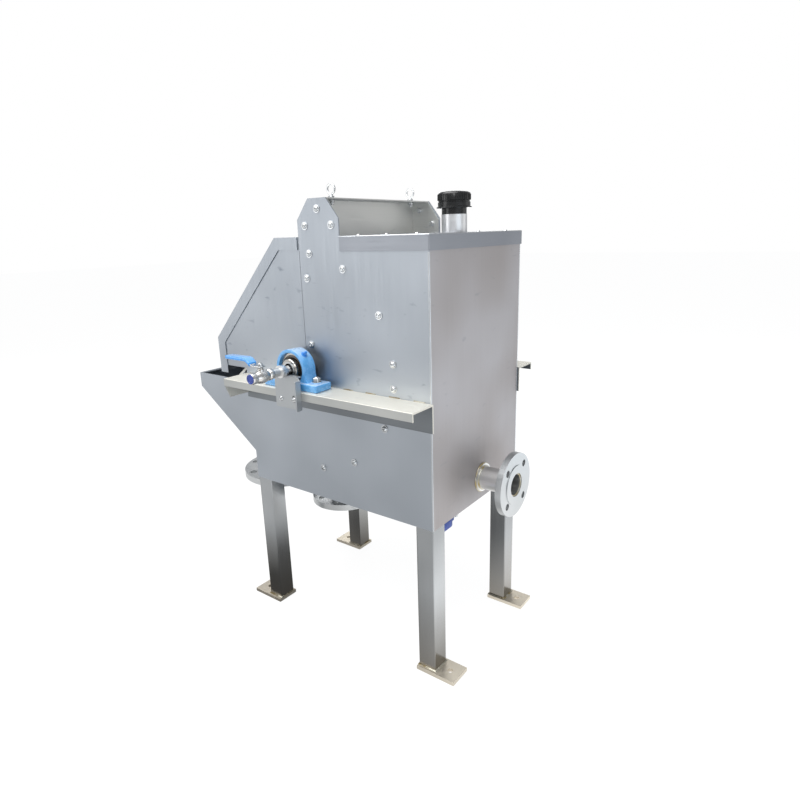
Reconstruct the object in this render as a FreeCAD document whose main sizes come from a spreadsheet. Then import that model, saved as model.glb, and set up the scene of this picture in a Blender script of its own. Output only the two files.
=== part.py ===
import FreeCAD, Part
import math
import os
import Sketcher
from types import SimpleNamespace

# Rotary drum screen, external feed.
# Frame: +X towards the feed inlet, +Y away from the front, +Z up, millimetres.
# The origin is the middle of the four foot bolts, on the floor.

doc = FreeCAD.newDocument("RotaryDrumScreen")

# Driving dimensions. Each one has its own cell and alias in the sheet.
DIMENSIONS = {
    # tank of folded stainless sheet, built round the drum
    "tank_bottom": 400,
    "headbox_run": 127.5,
    "sump_tuck": 12.5,
    "side_gap": 9.5,
    "lid_clear": 62.8,
    "plate": 3,
    "seam_drop": 12,
    "cover_sheet": 2,
    "sheet_gap": 0.5,
    "lid_flange": 34,
    # bearing shelf above the tank floor, and drum axis above the shelf
    "shelf_rise": 312,
    "shaft_height": 49.2,
    # drum
    "drum_radius": 250,
    "drum_length": 400,
    "disc_thick": 8,
    "rim_depth": 22,
    "hub_radius": 42,
    "spoke_width": 30,
    "spoke_count": 6,
    "band_pitch": 48,
    "band_slot": 2,
    "band_depth": 4,
    "band_taper": 2,
    "rod_count": 16,
    "rod_width": 5,
    "rod_depth": 8,
    "shaft_dia": 40,
    "shaft_bore": 30,
    "drive_dia": 25,
    # seals between drum and side plates, measured outwards from the drum's face
    "seal_bolt_out": 26,
    "seal_outer_out": 42,
    "seal_inner_out": 14,
    "seal_ring_thick": 6,
    "seal_lip_gap": 0.4,
    "seal_angle": 86,
    # gable ears and lifting beam, measured from the drum axis and from the lid
    "ear_run": 132,
    "ear_top_start": 39,
    "ear_top_end": 95,
    "shoulder_rise": 39,
    "ear_rise": 86,
    "beam_sheet": 3,
    "beam_clear": 0.5,
    "eye_inset": 52.5,
    "eye_ring": 28,
    "eye_wire": 5,
    # hood over the solids side
    "hood_top_run": 80,
    "hood_slant": 269,
    "hood_drop": 8,
    "hood_plate_rise": 14,
    "hood_flange": 30,
    "hood_gap": 4,
    # solids trough
    "trough_reach": 226,
    "trough_drop": 24,
    "trough_side": 42,
    "trough_slope": 36,
    "trough_fold": 16,
    # bearing rails
    "rail_depth": 80,
    "rail_drop": 68,
    "rail_lip": 21,
    "rail_sheet": 4,
    "rail_over": 5,
    # legs and feet
    "leg_size": 50,
    "leg_wall": 3,
    "leg_inset": 1,
    "foot_thick": 10,
    "foot_length": 110,
    "foot_width": 66,
    "foot_out": 57,
    "foot_hole": 14,
    "foot_hole_out": 27.5,
    # flanged connections, measured from the tank floor and the tank's ends
    "inlet_rise": 56,
    "inlet_offset": 21,
    "inlet_reach": 97,
    "inlet_pipe": 60.3,
    "inlet_wall": 2.9,
    "inlet_flange_dia": 165,
    "inlet_flange_thick": 18,
    "inlet_pcd": 125,
    "inlet_face": 102,
    "outlet_inset": 144.5,
    "outlet_drop": 113,
    "outlet_pipe": 88.9,
    "outlet_wall": 3.2,
    "outlet_flange_dia": 200,
    "outlet_flange_thick": 20,
    "outlet_pcd": 160,
    "outlet_face": 138,
    "chute_out": 104.5,
    "chute_drop": 77,
    "chute_pipe": 168.3,
    "chute_wall": 3,
    "chute_flange_dia": 285,
    "chute_flange_thick": 22,
    "chute_pcd": 240,
    "chute_face": 212,
    "flange_hole": 18,
    "chute_hole": 22,
    # vent
    "vent_inset": 69.5,
    "vent_pipe": 60.3,
    "vent_wall": 2,
    "vent_height": 41,
    "vent_cap_dia": 80,
    # spray pipe and valves
    "spray_pipe": 21.3,
    "spray_wall": 2.6,
    "valve_out": 151.5,
    "valve_length": 66,
    "valve_hex": 27,
    "valve_body": 32,
    "stem_height": 22,
    "stem_dia": 8,
    "spray_lever": 113,
    "drain_inset": 55.5,
    "drain_lever_gap": 4.5,
    "drain_drop": 23.3,
    "drain_length": 46,
    "drain_lever": 90,
    # fasteners and fits
    "bolt": 8,
    "bolt_clear": 0.25,
    "fit": 0.05,
    "seat": 0.3,
}

sizes = doc.addObject("Spreadsheet::Sheet", "Sizes")
for row, (name, value) in enumerate(DIMENSIONS.items(), start=1):
    sizes.set(f"A{row}", name)
    sizes.set(f"B{row}", str(value))
    sizes.setAlias(f"B{row}", name)
doc.recompute()


class Size:
    """A length together with the spreadsheet formula that it follows."""

    def __init__(self, value, formula):
        self.value = float(value)
        self.formula = formula

    def joined(self, other, sign, value):
        return Size(value, f"({self.formula} {sign} {other.formula})")

    def __add__(self, other):
        other = sized(other)
        return self.joined(other, "+", self.value + other.value)

    def __sub__(self, other):
        other = sized(other)
        return self.joined(other, "-", self.value - other.value)

    def __mul__(self, other):
        other = sized(other)
        return self.joined(other, "*", self.value * other.value)

    def __truediv__(self, other):
        other = sized(other)
        return self.joined(other, "/", self.value / other.value)

    def __radd__(self, other):
        return sized(other) + self

    def __rsub__(self, other):
        return sized(other) - self

    def __rmul__(self, other):
        return sized(other) * self

    def __neg__(self):
        return sized(0) - self


def sized(number):
    if isinstance(number, Size):
        return number
    return Size(number, repr(float(number)))


def sine(angle):
    angle = sized(angle)
    return Size(math.sin(math.radians(angle.value)), f"sin({angle.formula} * 1 deg)")


def cosine(angle):
    angle = sized(angle)
    return Size(math.cos(math.radians(angle.value)), f"cos({angle.formula} * 1 deg)")


def tangent(angle):
    return sine(angle) / cosine(angle)


def bind(item, path, size):
    """Tie one property of an object to its formula."""
    item.setExpression(path, sized(size).formula)


d = SimpleNamespace(**{name: Size(sizes.get(name), "Sizes." + name) for name in DIMENSIONS})

# Sizes that follow from the driving ones: the tank from the drum, the rest from the tank.
d.tank_length = 2 * d.drum_radius - d.sump_tuck + d.headbox_run
d.tank_width = d.drum_length + 2 * (d.side_gap + d.plate)
half_length = d.tank_length / 2
half_width = d.tank_width / 2
inner_half = half_width - d.plate
d.axis_offset = d.drum_radius - d.sump_tuck - half_length
d.shelf_height = d.tank_bottom + d.shelf_rise
axis_height = d.shelf_height + d.shaft_height
d.lid_height = axis_height + d.drum_radius + d.lid_clear
d.joint_height = d.shelf_height - d.seam_drop
d.seal_bolt_radius = d.drum_radius + d.seal_bolt_out
d.seal_ring_outer = d.drum_radius + d.seal_outer_out
d.seal_ring_inner = d.drum_radius + d.seal_inner_out
d.ear_right = d.axis_offset + d.ear_run
d.ear_top_left = d.axis_offset + d.ear_top_start
d.ear_top_right = d.axis_offset + d.ear_top_end
d.ear_shoulder = d.lid_height + d.shoulder_rise
d.ear_top = d.lid_height + d.ear_rise
d.hood_bottom = d.shelf_height - d.hood_drop
d.hood_plate_bottom = d.shelf_height + d.hood_plate_rise
d.trough_top = d.shelf_height - d.trough_drop
d.trough_corner = d.trough_top - d.trough_side
d.chute_offset = -half_length - d.chute_out
d.chute_bottom = d.tank_bottom - d.chute_drop
d.inlet_height = d.tank_bottom + d.inlet_rise
d.outlet_offset = d.outlet_inset - half_length
d.drain_offset = half_length - d.drain_inset
d.vent_offset = half_length - d.vent_inset
d.valve_centre = half_width + d.valve_out
d.drain_front = d.leg_inset + d.leg_size + d.drain_lever + d.drain_lever_gap - half_width
eye_reach = half_width - d.eye_inset
lid_under = d.lid_height - d.cover_sheet
side_top = lid_under - d.sheet_gap
half_drum = d.drum_length / 2

subparts = []


def place(item, x=0, y=0, z=0, turn=None):
    """Turn an object and move it to its place."""
    if turn is not None:
        item.Placement = FreeCAD.Placement(FreeCAD.Vector(0, 0, 0), turn)
    for letter, size in (("x", x), ("y", y), ("z", z)):
        bind(item, f"Placement.Base.{letter}", size)
    return item


def finish(item, x=0, y=0, z=0, turn=None):
    """Keep an object as a sub-part, put in its place."""
    subparts.append(place(item, x, y, z, turn))
    return item


def new_body(label):
    body = doc.addObject("PartDesign::Body", label)
    body.Label = label
    return body


def new_sketch(body, role, offset=0):
    """Start a sketch on one of the body's own origin planes, moved along its normal."""
    sketch = body.newObject("Sketcher::SketchObject", body.Label + "_sketch")
    plane = [feature for feature in body.Origin.OriginFeatures if feature.Role == role][0]
    sketch.AttachmentSupport = [(plane, "")]
    sketch.MapMode = "FlatFace"
    bind(sketch, "AttachmentOffset.Base.z", offset)
    return sketch


def fix_point(sketch, edge, end, across, up):
    """Tie one point of a sketch to its two coordinates."""
    for kind, size in (("DistanceX", sized(across)), ("DistanceY", sized(up))):
        index = sketch.addConstraint(Sketcher.Constraint(kind, -1, 1, edge, end, size.value))
        bind(sketch, f"Constraints[{index}]", size)


def draw_outline(sketch, corners):
    """Draw a closed outline of straight runs through its corners."""
    corners = [(sized(across), sized(up)) for across, up in corners]
    first = sketch.GeometryCount
    points = [FreeCAD.Vector(across.value, up.value, 0) for across, up in corners]
    for start, end in zip(points, points[1:] + points[:1]):
        sketch.addGeometry(Part.LineSegment(start, end), False)
    count = len(corners)
    for step in range(count):
        sketch.addConstraint(
            Sketcher.Constraint("Coincident", first + step, 2, first + (step + 1) % count, 1))
    for step, (across, up) in enumerate(corners):
        fix_point(sketch, first + step, 1, across, up)


def draw_circle(sketch, across, up, diameter):
    across, up, diameter = sized(across), sized(up), sized(diameter)
    centre = FreeCAD.Vector(across.value, up.value, 0)
    edge = sketch.addGeometry(Part.Circle(centre, FreeCAD.Vector(0, 0, 1), diameter.value / 2), False)
    fix_point(sketch, edge, 3, across, up)
    index = sketch.addConstraint(Sketcher.Constraint("Diameter", edge, diameter.value))
    bind(sketch, f"Constraints[{index}]", diameter)


def pad(body, sketch, length, reverse=False, middle=False):
    feature = body.newObject("PartDesign::Pad", body.Label + "_pad")
    feature.Profile = sketch
    feature.Reversed = reverse
    feature.Midplane = middle
    bind(feature, "Length", length)
    return feature


def cut_through(body, sketch):
    """Cut a sketch through the whole body, both ways from its plane."""
    feature = body.newObject("PartDesign::Pocket", body.Label + "_cut")
    feature.Profile = sketch
    feature.Type = "ThroughAll"
    feature.Midplane = True
    return feature


def revolve(body, sketch, axis="V_Axis"):
    feature = body.newObject("PartDesign::Revolution", body.Label + "_turn")
    feature.Profile = sketch
    feature.ReferenceAxis = (sketch, [axis])
    feature.Angle = 360
    return feature


def repeat_round(body, feature, sketch, count):
    """Repeat a feature in equal steps round the sketch's normal."""
    pattern = body.newObject("PartDesign::PolarPattern", body.Label + "_ring")
    pattern.Originals = [feature]
    pattern.Axis = (sketch, ["N_Axis"])
    pattern.Angle = 360
    bind(pattern, "Occurrences", count)
    body.Tip = pattern
    return pattern


def sheet_part(label, corners, thick, role="XZ_Plane", holes=(), reverse=True):
    """A flat plate: its outline with round holes, padded by its thickness."""
    body = new_body(label)
    sketch = new_sketch(body, role)
    draw_outline(sketch, corners)
    for across, up, diameter in holes:
        draw_circle(sketch, across, up, diameter)
    pad(body, sketch, thick, reverse)
    return body


def turned_part(label, corners, role="XZ_Plane"):
    """A turned piece: half its section, revolved about the plane's upright axis."""
    body = new_body(label)
    sketch = new_sketch(body, role)
    draw_outline(sketch, corners)
    revolve(body, sketch)
    return body


def tube_corners(outer, inner, low, high):
    return [(inner / 2, low), (outer / 2, low), (outer / 2, high), (inner / 2, high)]


def solid_copies(label, solids):
    """One node that holds like fasteners as separate solids."""
    item = doc.addObject("Part::Feature", label)
    item.Label = label
    item.Shape = Part.makeCompound(solids)
    subparts.append(item)
    return item


UP = FreeCAD.Vector(0, 0, 1)
X_AXIS = FreeCAD.Vector(1, 0, 0)
Y_AXIS = FreeCAD.Vector(0, 1, 0)
# Turn that sends Z to Y, and the cyclic turn that sends X to Y, Y to Z and Z to X.
Z_TO_Y = FreeCAD.Rotation(X_AXIS, -90)
CYCLE = FreeCAD.Rotation(FreeCAD.Vector(1, 1, 1), 120)

# Places of the seal ring bolts, in degrees round the drum axis.
UPPER_ANGLES = (-6, 6, 30, 60, 83)
LOWER_ANGLES = (-28, -59, -83)


def on_bolt_circle(angle):
    return (d.axis_offset + d.seal_bolt_radius * cosine(angle),
            axis_height + d.seal_bolt_radius * sine(angle))


bolt_hole = d.bolt + 2 * d.bolt_clear
upper_holes = [on_bolt_circle(angle) + (bolt_hole,) for angle in UPPER_ANGLES]
lower_holes = [on_bolt_circle(angle) + (bolt_hole,) for angle in LOWER_ANGLES]

# Bolts of the lifting beam: one high in each ear and one at each shoulder.
ear_middle = (d.ear_top_left + d.ear_top_right) / 2
beam_bolts = [
    (ear_middle, d.ear_top - 24),
    (ear_middle - 42, d.ear_shoulder - 14),
    (ear_middle + 42, d.ear_shoulder - 14),
]
beam_holes = [(across, up, bolt_hole) for across, up in beam_bolts]
# Two bolts hold the strap behind the seam of the side plates.
strap_top = axis_height + d.drum_radius - 10
strap_bolts = [(d.axis_offset + 21, strap_top - 24), (d.axis_offset + 21, axis_height + 54)]
strap_holes = [(across, up, bolt_hole) for across, up in strap_bolts]

shaft_hole = d.shaft_dia + 8
seam = d.sheet_gap
trough_left = -half_length - d.trough_reach
slope_fall = d.trough_reach * tangent(d.trough_slope)
trough_low = d.trough_corner - slope_fall
hood_right = d.axis_offset - d.hood_gap
hood_bend = hood_right - d.hood_top_run
hood_left = hood_bend - d.hood_slant
hood_shoulder = d.lid_height - d.hood_slant
# A 45 degree fold set back by a depth moves its corner by this share of the depth.
fold = math.tan(math.radians(22.5))
plate_set = d.cover_sheet + d.sheet_gap

# Side plates, front and back: one long lower sheet, an upper sheet with its ear, and the hood side.
lower_outline = [
    (-half_length, d.tank_bottom), (half_length, d.tank_bottom), (half_length, d.joint_height),
    (-half_length - d.rail_over, d.joint_height), (-half_length - d.rail_over, d.trough_top),
    (trough_left, d.trough_top), (trough_left, d.trough_corner), (-half_length, trough_low),
]
upper_outline = [
    (d.axis_offset + seam, d.joint_height + seam), (half_length, d.joint_height + seam),
    (half_length, side_top), (d.ear_right, side_top), (d.ear_right, d.ear_shoulder),
    (d.ear_top_right, d.ear_top), (d.ear_top_left, d.ear_top),
    (d.axis_offset + seam, d.ear_shoulder),
]
hood_outline = [
    (d.axis_offset - seam, d.joint_height + seam), (d.axis_offset - seam, side_top),
    (hood_bend + plate_set * fold, side_top),
    (hood_left + plate_set, hood_shoulder - plate_set * fold),
    (hood_left + plate_set, d.hood_plate_bottom),
    (-half_length - d.rail_over, d.hood_plate_bottom),
    (-half_length - d.rail_over, d.joint_height + seam),
]


def side_plates(side, outer_face, inward):
    """The three sheets of one side, between the outer face and the inside."""
    reverse = inward > 0
    lower = sheet_part(side + "_lower_plate", lower_outline, d.plate, holes=lower_holes, reverse=reverse)
    finish(lower, y=outer_face)
    upper = sheet_part(side + "_upper_plate", upper_outline, d.plate,
                       holes=upper_holes + beam_holes + strap_holes, reverse=reverse)
    shaft_cut = new_sketch(upper, "XZ_Plane")
    draw_circle(shaft_cut, d.axis_offset, axis_height, shaft_hole)
    cut_through(upper, shaft_cut)
    finish(upper, y=outer_face)
    hood = sheet_part(side + "_hood_plate", hood_outline, d.plate, reverse=reverse)
    strap = new_sketch(hood, "XZ_Plane", -inward * d.plate)
    strap_left, strap_right = d.axis_offset - 30, d.axis_offset + 36
    draw_outline(strap, [
        (strap_left, axis_height + 30), (strap_right, axis_height + 30),
        (strap_right, strap_top), (strap_left, strap_top)])
    for across, up, diameter in strap_holes:
        draw_circle(strap, across, up, diameter)
    pad(hood, strap, d.plate, reverse)
    hood_cut = new_sketch(hood, "XZ_Plane")
    draw_circle(hood_cut, d.axis_offset, axis_height, shaft_hole)
    cut_through(hood, hood_cut)
    finish(hood, y=outer_face)


side_plates("front", -half_width, 1)
side_plates("back", half_width, -1)

# Right wall with the inlet hole, tank floor with its two outlets, wall between sump and trough.
inlet_wall = sheet_part(
    "inlet_end_wall",
    [(-inner_half, d.tank_bottom), (inner_half, d.tank_bottom),
     (inner_half, side_top), (-inner_half, side_top)],
    d.plate, role="YZ_Plane", reverse=True,
    holes=[(d.inlet_offset, d.inlet_height, d.inlet_pipe - 2 * d.inlet_wall)])
finish(inlet_wall, x=half_length)

drain_bore = d.valve_hex * 0.55
floor_right = half_length - d.plate
floor_plate = sheet_part(
    "tank_floor",
    [(-half_length, -inner_half), (floor_right, -inner_half),
     (floor_right, inner_half), (-half_length, inner_half)],
    d.plate, role="XY_Plane", reverse=False,
    holes=[(d.outlet_offset, 0, d.outlet_pipe - 2 * d.outlet_wall),
           (d.drain_offset, d.drain_front, drain_bore)])
finish(floor_plate, z=d.tank_bottom)

wall_top = axis_height - 104
sump_wall = sheet_part(
    "sump_left_wall",
    [(-inner_half, d.tank_bottom + d.plate), (inner_half, d.tank_bottom + d.plate),
     (inner_half, wall_top), (-inner_half, wall_top)],
    d.plate, role="YZ_Plane", reverse=False)
finish(sump_wall, x=-half_length)

# Trough floor and outer wall, folded from one sheet with a small lip along the top.
floor_step = d.plate / cosine(d.trough_slope)
wall_step = d.plate * tangent((90 - d.trough_slope) / 2)
trough_section = [
    (-half_length, trough_low),
    (-half_length, trough_low + floor_step),
    (trough_left + d.plate, d.trough_corner + wall_step),
    (trough_left + d.plate, d.trough_top - d.plate),
    (trough_left + d.trough_fold, d.trough_top - d.plate),
    (trough_left + d.trough_fold, d.trough_top),
    (trough_left, d.trough_top), (trough_left, d.trough_corner),
]
trough = new_body("trough_floor")
trough_sketch = new_sketch(trough, "XZ_Plane")
draw_outline(trough_sketch, trough_section)
pad(trough, trough_sketch, 2 * inner_half, middle=True)
trough_hole = new_sketch(trough, "XY_Plane")
draw_circle(trough_hole, d.chute_offset, 0, d.chute_pipe - 2 * d.chute_wall)
cut_through(trough, trough_hole)
finish(trough)

# Partition that closes the headbox under the drum, with a rubber strip on top.
partition_rise = d.drum_radius - 0.7
strip_top = axis_height - partition_rise - d.seat
strip_height = 22
partition_top = strip_top - strip_height
partition_left = d.axis_offset + 22
notch_low = axis_height - d.seal_ring_outer - 2
notch_half = inner_half - d.seal_ring_thick - d.seat
strip_half = half_drum - d.disc_thick - d.seat
partition = sheet_part(
    "headbox_partition",
    [(-inner_half, d.tank_bottom + d.plate), (inner_half, d.tank_bottom + d.plate), (inner_half, notch_low),
     (notch_half, notch_low), (notch_half, partition_top), (-notch_half, partition_top),
     (-notch_half, notch_low), (-inner_half, notch_low)],
    d.plate, role="YZ_Plane", reverse=False)
finish(partition, x=partition_left)
strip = new_body("partition_seal_strip")
strip_sketch = new_sketch(strip, "XZ_Plane")
draw_outline(strip_sketch, [
    (partition_left - 1, partition_top), (partition_left + d.plate + 1, partition_top),
    (partition_left + d.plate + 1, strip_top), (partition_left + 1, strip_top)])
pad(strip, strip_sketch, 2 * strip_half, middle=True)
finish(strip)

# Scraper: a plastic blade on a folded holder, resting against the left side of the drum.
BLADE_ANGLE = 7
blade_tip = (d.axis_offset - (d.drum_radius + d.seat) * cosine(BLADE_ANGLE),
             axis_height - (d.drum_radius + d.seat) * sine(BLADE_ANGLE))
blade_heel = (d.axis_offset - (d.drum_radius + d.seat) * cosine(BLADE_ANGLE + 1.7) - 0.6,
              axis_height - (d.drum_radius + d.seat) * sine(BLADE_ANGLE + 1.7))
blade_run = 40
blade_fall = 30
blade_half = half_drum + 4
blade = new_body("doctor_blade")
blade_sketch = new_sketch(blade, "XZ_Plane")
draw_outline(blade_sketch, [
    blade_tip, blade_heel,
    (blade_heel[0] - blade_run, blade_heel[1] - blade_fall),
    (blade_tip[0] - blade_run, blade_tip[1] - blade_fall)])
pad(blade, blade_sketch, 2 * blade_half, middle=True)
finish(blade)

holder = new_body("blade_holder")
leg_outer = -half_length - d.plate
ledge_left = (blade_heel[0] - blade_run, blade_heel[1] - blade_fall)
ledge_right = (blade_heel[0] - 12, blade_heel[1] - 9)
holder_leg = new_sketch(holder, "XZ_Plane")
draw_outline(holder_leg, [
    (-half_length, wall_top - 55), (-half_length, wall_top),
    (leg_outer, wall_top), (leg_outer, wall_top - 55)])
pad(holder, holder_leg, 2 * blade_half, middle=True)
holder_rise = new_sketch(holder, "XZ_Plane")
draw_outline(holder_rise, [
    (-half_length, wall_top - 3), (leg_outer, wall_top - 3),
    (ledge_left[0] + 10, ledge_left[1] + 7.5), (ledge_left[0] + 14, ledge_left[1] + 10.5)])
pad(holder, holder_rise, 2 * blade_half, middle=True)
holder_ledge = new_sketch(holder, "XZ_Plane")
draw_outline(holder_ledge, [
    ledge_left, ledge_right, (ledge_right[0], ledge_right[1] - 4), (ledge_left[0], ledge_left[1] - 4)])
pad(holder, holder_ledge, 2 * blade_half, middle=True)
finish(holder)


# Bearing rails: folded channels along the side plates, with a gusset under the left end.
def rail(side, outward):
    body = new_body(side + "_rail")
    wall = outward * half_width
    drop, lip = d.shelf_height - d.rail_drop, d.shelf_height - d.rail_lip
    outer = wall + outward * d.rail_depth
    section = new_sketch(body, "YZ_Plane")
    draw_outline(section, [
        (wall, drop), (wall, d.shelf_height), (outer, d.shelf_height), (outer, lip),
        (outer - outward * d.rail_sheet, lip),
        (outer - outward * d.rail_sheet, d.shelf_height - d.rail_sheet),
        (wall + outward * d.rail_sheet, d.shelf_height - d.rail_sheet),
        (wall + outward * d.rail_sheet, drop)])
    pad(body, section, d.tank_length + 2 * d.rail_over, middle=True)
    gusset = new_sketch(body, "YZ_Plane", -half_length - d.rail_over)
    reach = outer - outward * 14
    draw_outline(gusset, [
        (wall, drop + 14), (wall, d.shelf_height - 1), (outer - outward * 1, d.shelf_height - 1),
        (outer - outward * 1, lip + 1), (reach, drop + 14)])
    pad(body, gusset, d.rail_sheet)
    slots = new_sketch(body, "XY_Plane")
    for end in (-1, 1):
        draw_circle(slots, d.axis_offset + end * bearing_bolt_reach, wall + outward * bearing_offset, 14.5)
    feature = body.newObject("PartDesign::Pocket", body.Label + "_holes")
    feature.Profile = slots
    feature.Type = "ThroughAll"
    feature.Midplane = True
    finish(body)


bearing_bolt_reach = sized(68.5)
bearing_offset = d.rail_depth / 2
rail("front", -1)
rail("back", 1)

# Legs of square tube under the tank corners, and foot plates with one bolt hole outside.
def corner_group(label, build):
    """Four like pieces, one at each corner of the tank, kept in one node."""
    pieces = []
    for along in (-1, 1):
        for deep in (-1, 1):
            pieces.append(build(f"{label}_{len(pieces) + 1}", along, deep))
    group = doc.addObject("Part::Compound", label)
    group.Label = label
    group.Links = pieces
    subparts.append(group)


leg_half = d.leg_size / 2


def leg(label, along, deep):
    body = new_body(label)
    ring = new_sketch(body, "XY_Plane")
    outer, inner = leg_half, leg_half - d.leg_wall
    draw_outline(ring, [(-outer, -outer), (outer, -outer), (outer, outer), (-outer, outer)])
    draw_outline(ring, [(-inner, -inner), (inner, -inner), (inner, inner), (-inner, inner)])
    pad(body, ring, d.tank_bottom - d.foot_thick)
    return place(body, along * (half_length - leg_half - d.leg_inset),
                 deep * (half_width - leg_half - d.leg_inset), d.foot_thick)


def foot_plate(label, along, deep):
    body = new_body(label)
    plate = new_sketch(body, "XY_Plane")
    far = along * d.foot_out
    near = along * (d.foot_out - d.foot_length)
    draw_outline(plate, [(near, -d.foot_width / 2), (far, -d.foot_width / 2),
                         (far, d.foot_width / 2), (near, d.foot_width / 2)])
    draw_circle(plate, along * d.foot_hole_out, 0, d.foot_hole)
    pad(body, plate, d.foot_thick)
    return place(body, along * half_length, deep * (half_width - leg_half))


corner_group("legs", leg)
corner_group("foot_plates", foot_plate)

# Top lid: a flat sheet that passes between the ears, with folded flanges on three sides.
lid_left = d.axis_offset + d.hood_gap
lid_out = d.sheet_gap + d.cover_sheet
lid_right = half_length + lid_out
lid_side = half_width + lid_out
ear_side = inner_half - d.sheet_gap
flange_left = d.ear_right + 1
lid = new_body("top_lid")
lid_sketch = new_sketch(lid, "XY_Plane", lid_under)
draw_outline(lid_sketch, [
    (lid_left, -ear_side), (flange_left, -ear_side), (flange_left, -lid_side), (lid_right, -lid_side),
    (lid_right, lid_side), (flange_left, lid_side), (flange_left, ear_side), (lid_left, ear_side)])
draw_circle(lid_sketch, d.vent_offset, 0, d.vent_pipe + 0.6)
pad(lid, lid_sketch, d.cover_sheet)
flange_low = d.lid_height - d.lid_flange
corner_slit = 2.5
for deep in (-1, 1):
    edge = new_sketch(lid, "XZ_Plane", -deep * lid_side)
    draw_outline(edge, [
        (flange_left, flange_low), (lid_right - corner_slit, flange_low),
        (lid_right - corner_slit, lid_under + 1), (flange_left, lid_under + 1)])
    pad(lid, edge, d.cover_sheet, reverse=deep < 0)
edge = new_sketch(lid, "YZ_Plane", lid_right)
draw_outline(edge, [
    (-lid_side, flange_low), (lid_side, flange_low), (lid_side, lid_under + 1), (-lid_side, lid_under + 1)])
pad(lid, edge, d.cover_sheet, reverse=True)
finish(lid)

# Vent pipe through the lid, with a black plastic cap on its neck.
vent_bottom = d.lid_height - 14
vent_top = d.lid_height + d.vent_height
vent_bore = d.vent_pipe - 2 * d.vent_wall
vent = turned_part("vent_pipe", tube_corners(d.vent_pipe, vent_bore, vent_bottom, vent_top))
finish(vent, x=d.vent_offset)
cap_radius = d.vent_cap_dia / 2
neck_radius = d.vent_pipe / 2 - 0.8
cap = turned_part("vent_cap", [
    (0, vent_top), (neck_radius, vent_top), (neck_radius, vent_top + 13), (cap_radius + 1.5, vent_top + 14),
    (cap_radius + 1.5, vent_top + 17), (cap_radius - 0.5, vent_top + 18), (cap_radius - 0.5, vent_top + 46),
    (cap_radius - 5, vent_top + 50), (0, vent_top + 52)])
finish(cap, x=d.vent_offset)

# Lifting beam: a web and a top flange between two end plates, bolted inside the ears.
beam_half = inner_half - d.beam_clear
beam_low = d.lid_height
web_left = d.ear_top_left
beam = new_body("lifting_beam")
web = new_sketch(beam, "XZ_Plane")
draw_outline(web, [
    (web_left, beam_low), (web_left, d.ear_top), (d.ear_top_right, d.ear_top),
    (d.ear_top_right, d.ear_top - d.beam_sheet), (web_left + d.beam_sheet, d.ear_top - d.beam_sheet),
    (web_left + d.beam_sheet, beam_low)])
pad(beam, web, 2 * beam_half, middle=True)
for deep in (-1, 1):
    end_plate = new_sketch(beam, "XZ_Plane", -deep * beam_half)
    draw_outline(end_plate, [
        (d.axis_offset + 8, beam_low), (d.ear_right - 3, beam_low), (d.ear_right - 3, d.ear_shoulder - 3),
        (d.ear_top_right - 1, d.ear_top - 1), (d.ear_top_left + 1, d.ear_top - 1),
        (d.axis_offset + 8, d.ear_shoulder - 2)])
    for across, up, diameter in beam_holes:
        draw_circle(end_plate, across, up, diameter)
    pad(beam, end_plate, d.beam_sheet, reverse=deep < 0)
eye_holes = new_sketch(beam, "XY_Plane")
for deep in (-1, 1):
    draw_circle(eye_holes, ear_middle, deep * eye_reach, bolt_hole)
cut_through(beam, eye_holes)
finish(beam)

def prism(radius, height, sides, top_radius=None):
    """An upright prism or frustum with its corners on a circle, standing on Z = 0."""
    rims = []
    for level, reach in ((0, radius), (height, radius if top_radius is None else top_radius)):
        turns = [2 * math.pi * step / sides for step in range(sides + 1)]
        rims.append(Part.makePolygon([
            FreeCAD.Vector(reach * math.cos(turn), reach * math.sin(turn), level) for turn in turns]))
    return Part.makeLoft(rims, True, True)


# Lifting eyes: ring, collar and shank, with a nut under the beam.
def moved(solid, x=0.0, y=0.0, z=0.0):
    solid.translate(FreeCAD.Vector(x, y, z))
    return solid


eyes = []
shank_radius = d.bolt.value / 2
wire_radius = d.eye_wire.value / 2
nut_high = d.bolt.value * 0.8
for deep in (-1, 1):
    ring_radius = d.eye_ring.value / 2 - wire_radius
    section = Part.Face(Part.makePolygon([
        FreeCAD.Vector(ring_radius + wire_radius * math.cos(math.pi * step / 4), 0,
                       wire_radius * math.sin(math.pi * step / 4))
        for step in range(9)]))
    eye = section.revolve(FreeCAD.Vector(0, 0, 0), UP, 360)
    eye.rotate(FreeCAD.Vector(0, 0, 0), X_AXIS, 90)
    moved(eye, z=7 + d.eye_ring.value / 2)
    eye = eye.fuse(prism(shank_radius * 1.9, 5, 12))
    eye = eye.fuse(moved(prism(shank_radius * 1.5, 5, 12, shank_radius * 0.9), z=4))
    shank_length = d.beam_sheet.value + 12
    eye = eye.fuse(moved(prism(shank_radius, shank_length, 12), z=-shank_length))
    eye = eye.fuse(moved(prism(shank_radius * 1.85, nut_high, 6), z=-d.beam_sheet.value - nut_high))
    eyes.append(moved(eye, ear_middle.value, deep * eye_reach.value, d.ear_top.value))
solid_copies("lifting_eyes", eyes)


# Button head bolts: a low dome outside, a shank through the sheets and a nut inside.
def bolt_solid(grip, radius, nut_height):
    """A bolt along +Y whose head seats on the plane Y = 0 and points to -Y."""
    head = prism(radius * 1.75, radius * 1.1, 12, radius * 1.1)
    shank = moved(prism(radius, grip + nut_height + 0.5, 8), z=-grip - nut_height - 0.5)
    nut = moved(prism(radius * 1.85, nut_height, 6), z=-grip - nut_height)
    bolt = head.fuse(shank).fuse(nut)
    bolt.rotate(FreeCAD.Vector(0, 0, 0), X_AXIS, 90)
    return bolt


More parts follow.
